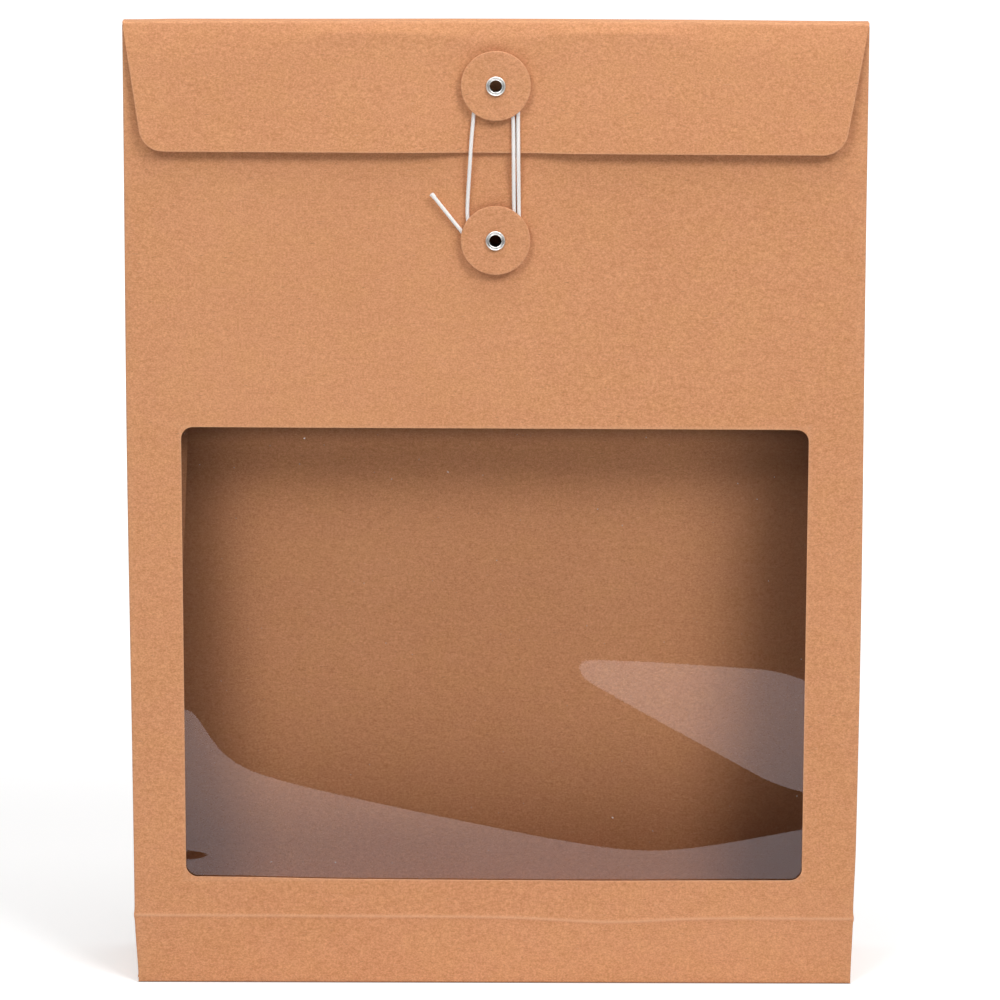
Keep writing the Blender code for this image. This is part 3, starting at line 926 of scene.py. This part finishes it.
class POUCH_OT_body(bpy.types.Operator):
    """Make the scored card sheet: base flap, front, gussets and back"""

    bl_idname = "pouch.body"
    bl_label = "Body sheet"

    def execute(self, context):
        points, faces = body_patches()
        marks = body_marks(points)
        front = (60 * MM, FRONT_Y, 240 * MM)
        body = make_piece("body_sheet", body_relief(points), faces, marks, (front, (0, -1, 0)))
        finish_with(body, card_finish(), inside_finish(), edge_finish())
        thicken(body, sizes().card)
        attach(body, "pouch")
        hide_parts("front_panel", "front_foot", "back_panel", "base_outer_flap")
        for word in ("left", "right"):
            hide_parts(f"{word}_gusset_front", f"{word}_gusset_back", f"{word}_gusset_foot")
        return {"FINISHED"}


class POUCH_OT_top_fold(bpy.types.Operator):
    """Make the top fold, from the back's upper edge round into the spine"""

    bl_idname = "pouch.top_fold"
    bl_label = "Top fold"

    def execute(self, context):
        points, faces = grid_patch(spine_root_rows(sheet_columns()))
        points[:, 2] += top_crown(points[:, 0]) * ease((points[:, 2] - MOUTH) / (TOP - MOUTH))
        crest = ((0.0, BACK_TOP_Y - SPINE_ROOT, TOP), (0, 0, 1))
        fold = make_piece("top_fold_strip", points, faces, body_marks(points), crest)
        finish_with(fold, card_finish(), inside_finish(), edge_finish())
        thicken(fold, sizes().card)
        start, end = (0.0, back_y(MOUTH), MOUTH), (0.0, BACK_TOP_Y - BACK_TURN, TOP)
        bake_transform(fold)
        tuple(start)
        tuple(end)
        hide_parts("back_panel")
        return {"FINISHED"}


class POUCH_OT_inner_flaps(bpy.types.Operator):
    """Give the inner base flaps and the glue tab their card finish"""

    bl_idname = "pouch.inner_flaps"
    bl_label = "Inner flaps"

    def execute(self, context):
        for name in ("base_inner_flap", "base_left_tab", "base_right_tab", "seam_tab"):
            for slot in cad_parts[name].material_slots:
                slot.material = card_finish()
        return {"FINISHED"}


def flap_half_width(down):
    """Half width of the flap at a distance down from its fold."""
    length = TOP - FLAP_LOW
    return FLAP_FOLD_HALF + (FLAP_END_HALF - FLAP_FOLD_HALF) * down / length


def flap_lift(x, down):
    """How far the flap stands out of its flat place.

    On either side of the string it leans out towards its low edge. Its top bends back: as a flat
    strip with a crease below it on either side of the middle, and as a long soft curve elsewhere.
    """
    lean = (np.hypot(down, 8 * MM) - 8 * MM) / (35 * MM) * ease((np.abs(x) - 6 * MM) / (24 * MM))
    soft = np.maximum(ease((np.abs(x) - 52 * MM) / (30 * MM)), 0.4 * bell(x / (14 * MM)))
    reach = (3.5 + 9.5 * soft) * MM
    bend = (1.3 - 0.3 * soft) * np.maximum(1.0 - down / reach, 0.0) ** (1.0 + soft)
    return sizes().flap_lift * lean - sizes().flap_bend * bend


def flap_slope(x, down):
    """How steeply the flap leans out at a distance down from its fold."""
    step = 0.1 * MM
    return (flap_lift(x, down + step) - flap_lift(x, down)) / step


def spine_and_fold(columns):
    """Spine from its root to the front, an arc round the fold, and the flap's top strip.

    The arc turns from level to the slope at which the flap starts.
    """
    whole = math.pi / 2 - np.arctan(flap_slope(columns, 0.5 * FLAP_TURN))
    start = FLAP_TURN * (1.0 - np.cos(whole))
    front_y = FLAP_Y - flap_lift(columns, start)
    turn = np.linspace(0.0, 1.0, 9)[1:, None] * whole
    arc_down = FLAP_TURN * (1.0 - np.cos(turn))
    arc_x = columns / HALF_WIDTH * flap_half_width(arc_down)
    arc = stack(arc_x, front_y + FLAP_TURN * (np.sin(whole) - np.sin(turn)), TOP - arc_down)
    root = BACK_TOP_Y - SPINE_ROOT
    run = np.linspace(0.0, 1.0, 7)[:, None]
    spine_y = root + run * (front_y + FLAP_TURN * np.sin(whole) - root)
    spine = stack(columns * FLAP_FOLD_HALF / HALF_WIDTH, spine_y, TOP)
    down = start + np.linspace(0.0, 1.0, 13)[1:, None] * (FLAP_TOP_STRIP - start)
    strip_x = columns / HALF_WIDTH * flap_half_width(down)
    strip = stack(strip_x, FLAP_Y - flap_lift(strip_x, down), TOP - down)
    return np.concatenate([spine, arc, strip])


def flap_outline(columns, count):
    """Loop round the flap below its top strip: x and distance down, from its low left corner.

    Each low corner is an arc tangent to the bottom and to the slanting side.
    """
    length = TOP - FLAP_LOW
    slant = math.atan2(FLAP_FOLD_HALF - FLAP_END_HALF, length)
    turn = math.pi / 2 - slant
    centre_x = FLAP_END_HALF - FLAP_CORNER * math.tan(turn / 2)
    half = np.linspace(0.0, turn / 2, ARC_STEPS + 1)
    low = stack(centre_x + FLAP_CORNER * np.sin(half), length - FLAP_CORNER * (1 - np.cos(half)))
    rest = half + turn / 2
    high = stack(centre_x + FLAP_CORNER * np.sin(rest), length - FLAP_CORNER * (1 - np.cos(rest)))
    down = np.linspace(high[-1, 1], FLAP_TOP_STRIP, count - ARC_STEPS + 1)
    right = np.concatenate([high[:-1], stack(flap_half_width(down), down)])
    straight = np.linspace(-centre_x, centre_x, len(columns) - 2 * ARC_STEPS)
    mirror = np.array([-1.0, 1.0])
    bottom = np.concatenate([low[::-1][:-1] * mirror, stack(straight, length), low[1:]])
    top = stack(columns[::-1] / HALF_WIDTH * flap_half_width(FLAP_TOP_STRIP), FLAP_TOP_STRIP)
    left = right[::-1] * mirror
    return np.concatenate([bottom[:-1], right[:-1], top[:-1], left[:-1]])


def drawn_in(loop, width):
    """A closed loop moved inwards by each point's width, square to the line through its neighbours."""
    along = np.roll(loop, -1, axis=0) - np.roll(loop, 1, axis=0)
    square = stack(along[:, 1], -along[:, 0])
    return loop + (width / np.linalg.norm(square, axis=1))[:, None] * square


def flap_skew(points):
    """Turns the flap a little in its plane, so that it hangs to the left and its left side is shorter.

    The skew grows with the distance down, and fades to nothing round the eyelet. The flap's top
    follows the crown of the pouch's top.
    """
    x, y, z = points[:, 0], points[:, 1], points[:, 2]
    down = np.maximum(TOP - z, 0.0)
    share = down / (TOP - FLAP_LOW) * (1.0 - bell(np.hypot(x, z - UPPER_Z) / (9 * MM)))
    pull, middle_lift, slope = 0.8 * MM, 0.48, 0.0035
    lift = (middle_lift - slope * x / MM) * MM
    crown = top_crown(x) * (1.0 - ease(down / FLAP_TOP_STRIP))
    return stack(x - pull * share, y, z + lift * share + crown)


class POUCH_OT_flap(bpy.types.Operator):
    """Make the spine, its front fold and the flap with its round corners and eyelet hole"""

    bl_idname = "pouch.flap"
    bl_label = "Spine and flap"

    def execute(self, context):
        columns = sheet_columns()
        count = 20
        outer = flap_outline(columns, count)
        inner = circle_loop(HOLE_RADIUS, (len(columns) - 1, count), (0.0, UPPER_Z - TOP))
        inner = inner * np.array([1.0, -1.0])
        border = drawn_in(outer, 0.5 * MM * ease((outer[:, 1] - FLAP_TOP_STRIP) / (4 * MM)))
        ring = rings_between(inner, border, np.linspace(0.0, 1.0, 15) ** 2)
        ring = np.concatenate([ring, outer[None]])
        x, down = ring[..., 0], ring[..., 1]
        sheet = stack(x, FLAP_Y - flap_lift(x, down), TOP - down)
        cut = np.zeros_like(x)
        cut[-1] = 0.7 * (outer[:, 1] > FLAP_TOP_STRIP)
        top = spine_and_fold(columns)
        points, faces = joined([grid_patch(top), ring_patch(sheet)])
        marks = np.concatenate([np.zeros(top.size // 3), cut.ravel()])
        marks += 0.3 * bell((points[:, 2] - TOP) / (0.8 * MM))
        front = ((60 * MM, FLAP_Y, 300 * MM), (0, -1, 0))
        flap = make_piece("flap_sheet", flap_skew(points), faces, marks, front)
        finish_with(flap, card_finish(), card_finish(), edge_finish())
        thicken(flap, sizes().card)
        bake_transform(flap)
        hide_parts("top_spine", "flap")
        return {"FINISHED"}


def mirror_slope(z):
    """Slope at which the film, seen from the camera, starts to mirror the near floor.

    The film's angle is half the difference of the angles down to the floor's end and from the camera.
    """
    reach = film_low.y - CAMERA_PLACE[1]
    to_floor, from_camera = np.arctan(z / NEAR_FLOOR), np.arctan((CAMERA_PLACE[2] - z) / reach)
    return np.tan((to_floor - from_camera) / 2)


def low_bulge(x):
    """Height of the bulge along the film's foot: a rounded valley that climbs at the far left."""
    lowest, slope, climb = 45.6 * MM, 0.215, 19 * MM
    valley = np.hypot(x - 52 * MM, 20 * MM) - 20 * MM
    fading = 1.0 + (np.maximum(x + 101 * MM, 0.0) / (8 * MM)) ** 2
    return lowest + slope * valley + climb / fading


def side_bulge(x, z):
    """Negative inside the bulge at the film's right side, a tongue that widens to the right."""
    tip_x, tip_z = 29.3 * MM, 107.5
    reach = (x - tip_x) / MM
    middle = tip_z - 0.305 * reach
    spread = 2.2 * reach + 0.06 * reach**2 - 0.5 * np.maximum(reach - 58.0, 0.0) ** 2
    spread = np.where(reach < 0.0, 8.0 * reach, spread)
    return ((z / MM - middle) ** 2 - spread) / 225.0


def film_height(x, z):
    """How far the film stands out of its flat place.

    Its slope follows the mirror slope, plus a little in the two bulges and minus a little outside
    them and in a small dent at the low left, summed from the foot up. It is drawn back to zero at
    the top and at the glued sides.
    """
    bulges_end, bulge_slope, dent_slope = 112 * MM, 0.03, 0.05
    slope = mirror_slope(np.minimum(z, bulges_end)) * (1.0 - ease((z - bulges_end) / (30 * MM)))
    slope = slope - bulge_slope * np.tanh((z - low_bulge(x)) / (12 * MM)) * np.tanh(side_bulge(x, z))
    dent = bell((x + 103 * MM) / (12 * MM)) * bell((z - 43.8 * MM) / (2.1 * MM))
    slope = slope - dent_slope * dent
    step = np.diff(z, axis=0) * (slope[1:] + slope[:-1]) / 2
    height = np.concatenate([np.zeros_like(slope[:1]), np.cumsum(step, axis=0)])
    height = height - height[-1:] * ease((z - 115 * MM) / (80 * MM))
    return height * (1.0 - ease((np.abs(x) - 103 * MM) / (7 * MM)))


class POUCH_OT_film(bpy.types.Operator):
    """Make the clear film behind the window, with its shallow bulges"""

    bl_idname = "pouch.film"
    bl_label = "Window film"

    def execute(self, context):
        x = np.linspace(film_low.x, film_high.x, 141)
        z = np.linspace(film_low.z, film_high.z, 171)[:, None]
        x, z = np.broadcast_arrays(x, z)
        y = film_low.y - film_height(x, z)
        points, faces = grid_patch(stack(x, y, z))
        front = ((0, film_low.y, 100 * MM), (0, -1, 0))
        film = make_piece("film_sheet", points, faces, np.zeros(len(points)), front)
        finish_with(film, film_finish())
        thicken(film, sizes().film)
        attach(film, "pouch")
        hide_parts("window_film")
        return {"FINISHED"}


def lathe(name, profile, marks, face_y, height):
    """Profile of radius and distance out from a face, turned about the button's axis along Y.

    Marks is one value for each point of the profile.
    """
    profile = np.array(profile)
    turn = np.linspace(0.0, 2 * math.pi, LATHE_SIDES + 1)[:, None]
    radius, out = profile[:, 0], profile[:, 1]
    points = stack(radius * np.cos(turn), face_y - out, height + radius * np.sin(turn))
    points, faces = grid_patch(points)
    top = profile[np.argmax(out)]
    outward = ((top[0], face_y - top[1], height), (0, -1, 0))
    return make_piece(name, points, faces, np.tile(marks, LATHE_SIDES + 1), outward)


def half_round(start, end, base, lift, steps=10):
    """Half ellipse of radius and height from one radius to another."""
    turn = np.linspace(0.0, math.pi, steps + 1)
    middle, half = (start + end) / 2, (end - start) / 2
    return list(zip(middle - half * np.cos(turn), base + lift * np.sin(turn)))


class POUCH_OT_discs(bpy.types.Operator):
    """Make the two card discs, each a little dished round its eyelet"""

    bl_idname = "pouch.discs"
    bl_label = "Discs"

    def execute(self, context):
        bore, rim, edge = HOLE_RADIUS, DISC_RADIUS, 0.18 * MM
        share = np.linspace(0.0, 1.0, 15)
        radius = bore + share * (rim - edge - bore)
        dish = 0.12 * MM * bell((radius - bore) / (3.2 * MM))
        top = list(zip(radius, DISC_HIGH - dish))
        corner = np.linspace(0.0, math.pi / 2, 5)[1:]
        rounded = list(zip(rim - edge + edge * np.sin(corner), DISC_HIGH - edge + edge * np.cos(corner)))
        low_corner = list(zip(rim - edge + edge * np.cos(corner), DISC_LOW + edge - edge * np.sin(corner)))
        under = list(zip(radius[::-1], np.full_like(radius, DISC_LOW)))[1:]
        profile = top + rounded + [(rim, DISC_LOW + edge)] + low_corner + under + top[:1]
        marks = 0.4 * bell((np.array(profile)[:, 0] - rim) / (0.25 * MM))
        finish = kraft_finish("pouch_disc_board", colours().disc, 0.0)
        for word, face_y, height in (("upper", FLAP_Y, UPPER_Z), ("lower", FRONT_Y, LOWER_Z)):
            disc = lathe(f"{word}_button_disc", profile, marks, face_y, height)
            finish_with(disc, finish)
            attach(disc, f"{word}_disc")
            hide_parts(f"{word}_disc")
        return {"FINISHED"}


class POUCH_OT_eyelets(bpy.types.Operator):
    """Make the two pressed eyelets: a rolled rim, an inner bead, a barrel and a clinched back"""

    bl_idname = "pouch.eyelets"
    bl_label = "Eyelets"

    def execute(self, context):
        bore, barrel, rim, clinch = 1.95 * MM, 2.2 * MM, 3.2 * MM, 3.0 * MM
        seat = DISC_HIGH + 0.3 * MM
        back = -0.8 * MM
        bead = half_round(bore, 2.22 * MM, seat + 0.12 * MM, 0.24 * MM, 8)
        groove = [(2.24 * MM, seat - 0.28 * MM), (2.6 * MM, seat - 0.28 * MM)]
        roll = half_round(2.62 * MM, rim, seat, 0.5 * MM)
        tuck = half_round(rim, barrel, seat, -0.12 * MM, 6)[1:]
        turned = half_round(barrel, clinch, back, 0.1 * MM, 6)
        tail = half_round(clinch, bore, back, -0.4 * MM)[1:]
        throat = [(bore, seat - 0.4 * MM), (bore, seat - 0.1 * MM)]
        profile = bead + groove + roll + tuck + turned + tail + throat + bead[:1]
        marks = np.zeros(len(profile))
        # Painted shade in the groove and down the bore
        marks[len(bead) : len(bead) + 2] = 1.0
        marks[-4:-2] = 0.95
        finish = nickel_finish()
        for word, body, face_y, height in (
            ("upper", "flap", FLAP_Y, UPPER_Z),
            ("lower", "pouch", FRONT_Y, LOWER_Z),
        ):
            eyelet = lathe(f"{word}_button_eyelet", profile, marks, face_y, height)
            finish_with(eyelet, finish)
            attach(eyelet, body)
            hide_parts(f"{word}_eyelet")
        return {"FINISHED"}


def string_path():
    """Even points on a smooth curve through the route, whose slope follows each point's neighbours.

    Its free end eases off the card.
    """
    route = np.array(STRING_ROUTE) * MM
    route = stack(route[:, 0], FRONT_Y - route[:, 2], LOWER_Z + route[:, 1])
    ends = np.concatenate([route[:1], route, route[-1:]])
    slope = (ends[2:] - ends[:-2]) / 6
    a, d = route[:-1, None], route[1:, None]
    b, c = a + slope[:-1, None], d - slope[1:, None]
    t = np.linspace(0.0, 1.0, CURVE_STEPS)[:-1, None]
    dense = np.concatenate([bezier(a, b, c, d, t).reshape(-1, 3), route[-1:]])
    run = np.concatenate([[0.0], np.cumsum(np.linalg.norm(np.diff(dense, axis=0), axis=1))])
    even = np.linspace(0.0, run[-1], math.ceil(run[-1] / STRING_STEP) + 1)
    path = stack(*(np.interp(even, run, dense[:, axis]) for axis in range(3)))
    path[:, 1] -= TAIL_LIFT * ease((even - even[-1] + TAIL_REACH) / TAIL_REACH)
    return path, even


class POUCH_OT_string(bpy.types.Operator):
    """Make the twisted cotton string, wound round both buttons, with its free tail"""

    bl_idname = "pouch.string"
    bl_label = "String"

    def execute(self, context):
        path, run = string_path()
        along = np.gradient(path, axis=0)
        along /= np.linalg.norm(along, axis=1)[:, None]
        out = np.array([0.0, -1.0, 0.0])
        first = out - (along @ out)[:, None] * along
        first /= np.linalg.norm(first, axis=1)[:, None]
        second = np.cross(along, first)
        turn = np.linspace(0.0, 2 * math.pi, STRING_SIDES + 1)
        ply = np.cos(3.0 * (turn - 2 * math.pi * run[:, None] / sizes().twist))
        tail = ease((run - run[-1] + 2.6 * MM) / (2.2 * MM))[:, None]
        radius = sizes().string / 2 * (0.97 + 0.035 * ply + tail * (0.22 + 0.10 * ply))
        closing = np.ones_like(radius)
        closing[[0, -1]] = 0.0
        radius = radius * closing
        ring = first[:, None] * np.cos(turn)[:, None] + second[:, None] * np.sin(turn)[:, None]
        points, faces = grid_patch(path[:, None] + ring * radius[..., None])
        # Painted shade of the twist: one on each ply's crown, zero in the grooves between plies
        marks = (0.5 + 0.5 * ply).reshape(-1)
        middle = len(path) // 2
        outward = (path[middle] + first[middle] * sizes().string / 2, tuple(first[middle]))
        string = make_piece("tie_string_twist", points, faces, marks, outward)
        finish_with(string, cotton_finish())
        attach(string, "flap")
        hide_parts("tie_string")
        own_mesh(string)
        tuple(path[0])
        return {"FINISHED"}


class POUCH_OT_view(bpy.types.Operator):
    """Set the camera where the photograph was taken from"""

    bl_idname = "pouch.view"
    bl_label = "Camera"

    def execute(self, context):
        lens = bpy.data.cameras.new("camera")
        lens.lens = CAMERA_LENS
        lens.sensor_width = CAMERA_SENSOR
        camera = bpy.data.objects.new("camera", lens)
        context.scene.collection.objects.link(camera)
        tilt = Matrix.Rotation(math.pi / 2 - CAMERA_PITCH, 4, "X")
        roll = Matrix.Rotation(CAMERA_ROLL, 4, "Z")
        camera.matrix_world = Matrix.Translation(CAMERA_PLACE) @ tilt @ roll
        context.scene.camera = camera
        return {"FINISHED"}


def pale_floor_finish():
    """White floor that takes shadows. What sees it directly also sees a glow that grows far away."""
    material, tree, shader = new_finish("pale_floor")
    set_inputs(shader, {"Base Color": (0.88, 0.88, 0.88, 1.0), "Emission Color": (1.0, 1.0, 1.0, 1.0)})
    set_inputs(shader, {"Roughness": 0.9, "Specular IOR Level": 0.0})
    x, y, _ = object_place(tree)
    behind = between(tree, y, 0.0, 1.2, FAR_GLOW)
    aside = between(tree, worked_out(tree, "ABSOLUTE", x), 0.5, 1.5, FAR_GLOW)
    glow = scaled_sum(tree, ((worked_out(tree, "MAXIMUM", behind, aside), 1.0),), FLOOR_GLOW)
    glow = worked_out(tree, "MULTIPLY", glow, seen_directly(tree))
    tree.links.new(glow, shader.inputs["Emission Strength"])
    return material


def dark_ground_finish():
    """Matt dark ground, which the film mirrors past the end of the near floor."""
    material, _, shader = new_finish("dark_ground")
    set_inputs(shader, {"Base Color": (0.03, 0.03, 0.03, 1.0)})
    set_inputs(shader, {"Roughness": 1.0, "Specular IOR Level": 0.0})
    return material


def seen_directly(tree):
    """One for rays from the camera, a mirror or a clear sheet, and zero for the others."""
    path = add_node(tree, "ShaderNodeLightPath")
    rays = ("Is Camera Ray", "Is Glossy Ray", "Is Transmission Ray")
    total = scaled_sum(tree, [(path.outputs[ray], 1.0) for ray in rays], 0.0)
    return between(tree, total, 0.0, 1.0, 1.0)


def stage_plane(name, corner, far_corner, height, finish):
    """Flat rectangle of the stage between two corners."""
    x = np.linspace(corner[0], far_corner[0], 9)
    y = np.linspace(corner[1], far_corner[1], 9)[:, None]
    points, faces = grid_patch(stack(x, y, height))
    middle = ((corner[0] + far_corner[0]) / 2, (corner[1] + far_corner[1]) / 2, height)
    plane = make_piece(name, points, faces, np.zeros(len(points)), (middle, (0, 0, 1)))
    finish_with(plane, finish)
    return plane


def soft_light(name, place, size, power):
    """Square area lamp at a place, turned to the middle of the pouch."""
    lamp = bpy.data.lights.new(name, "AREA")
    lamp.shape = "SQUARE"
    lamp.size = size
    lamp.energy = power
    made = bpy.data.objects.new(name, lamp)
    bpy.context.scene.collection.objects.link(made)
    made.location = place
    aim = Vector(LAMP_TARGET) - Vector(place)
    made.rotation_euler = aim.to_track_quat("-Z", "Y").to_euler()


class POUCH_OT_stage(bpy.types.Operator):
    """Lay the pale floor and set up the soft studio light"""

    bl_idname = "pouch.stage"
    bl_label = "Stage"

    def execute(self, context):
        white = pale_floor_finish()
        edge = film_low.y - NEAR_FLOOR
        stage_plane("near_floor", (-4.0, edge), (4.0, 5.0), FLOOR_Z, white)
        front = stage_plane("front_floor", (-4.0, -5.0), (4.0, edge), FLOOR_Z, white)
        front.visible_glossy = False
        dark = stage_plane("dark_ground", (-6.0, -6.0), (6.0, 6.0), GROUND_Z, dark_ground_finish())
        dark.visible_camera = False
        for lamp in SOFTBOXES:
            soft_light(*lamp)
        world = bpy.data.worlds.new("studio")
        context.scene.world = world
        world.use_nodes = True
        air = world.node_tree
        background = air.nodes["Background"]
        background.inputs["Color"].default_value = (1.0, 1.0, 1.0, 1.0)
        strength = scaled_sum(air, ((seen_directly(air), 1.0 - WORLD_LIGHT),), WORLD_LIGHT)
        air.links.new(strength, background.inputs["Strength"])
        context.scene.view_settings.view_transform = "Standard"
        return {"FINISHED"}


class POUCH_PT_panel(bpy.types.Panel):
    """Sidebar list of the pouch's sizes, colours and pieces"""

    bl_idname = "POUCH_PT_panel"
    bl_label = "Kraft pouch"
    bl_space_type = "VIEW_3D"
    bl_region_type = "UI"
    bl_category = "Pouch"

    def draw(self, context):
        for group in (context.scene.pouch_sizes, context.scene.pouch_colours):
            box = self.layout.box()
            for name in group.__annotations__:
                box.prop(group, name)
        for operator in OPERATORS:
            self.layout.operator(operator.bl_idname)


GROUPS = (PouchSizes, PouchColours)
OPERATORS = (
    POUCH_OT_view,
    POUCH_OT_string,
    POUCH_OT_body,
    POUCH_OT_top_fold,
    POUCH_OT_inner_flaps,
    POUCH_OT_flap,
    POUCH_OT_film,
    POUCH_OT_discs,
    POUCH_OT_eyelets,
    POUCH_OT_stage,
)


def register():
    """Registers the settings, the operators and the panel."""
    for item in (*GROUPS, *OPERATORS, POUCH_PT_panel):
        bpy.utils.register_class(item)
    bpy.types.Scene.pouch_sizes = bpy.props.PointerProperty(type=PouchSizes)
    bpy.types.Scene.pouch_colours = bpy.props.PointerProperty(type=PouchColours)


def unregister():
    """Takes them out again, the last one first."""
    del bpy.types.Scene.pouch_colours
    del bpy.types.Scene.pouch_sizes
    for item in reversed((*GROUPS, *OPERATORS, POUCH_PT_panel)):
        bpy.utils.unregister_class(item)


def main():
    """Makes every piece in order."""
    register()
    bpy.ops.pouch.view()
    bpy.ops.pouch.string()
    bpy.ops.pouch.body()
    bpy.ops.pouch.top_fold()
    bpy.ops.pouch.inner_flaps()
    bpy.ops.pouch.flap()
    bpy.ops.pouch.film()
    bpy.ops.pouch.discs()
    bpy.ops.pouch.eyelets()
    bpy.ops.pouch.stage()


if __name__ == "__main__":
    main()
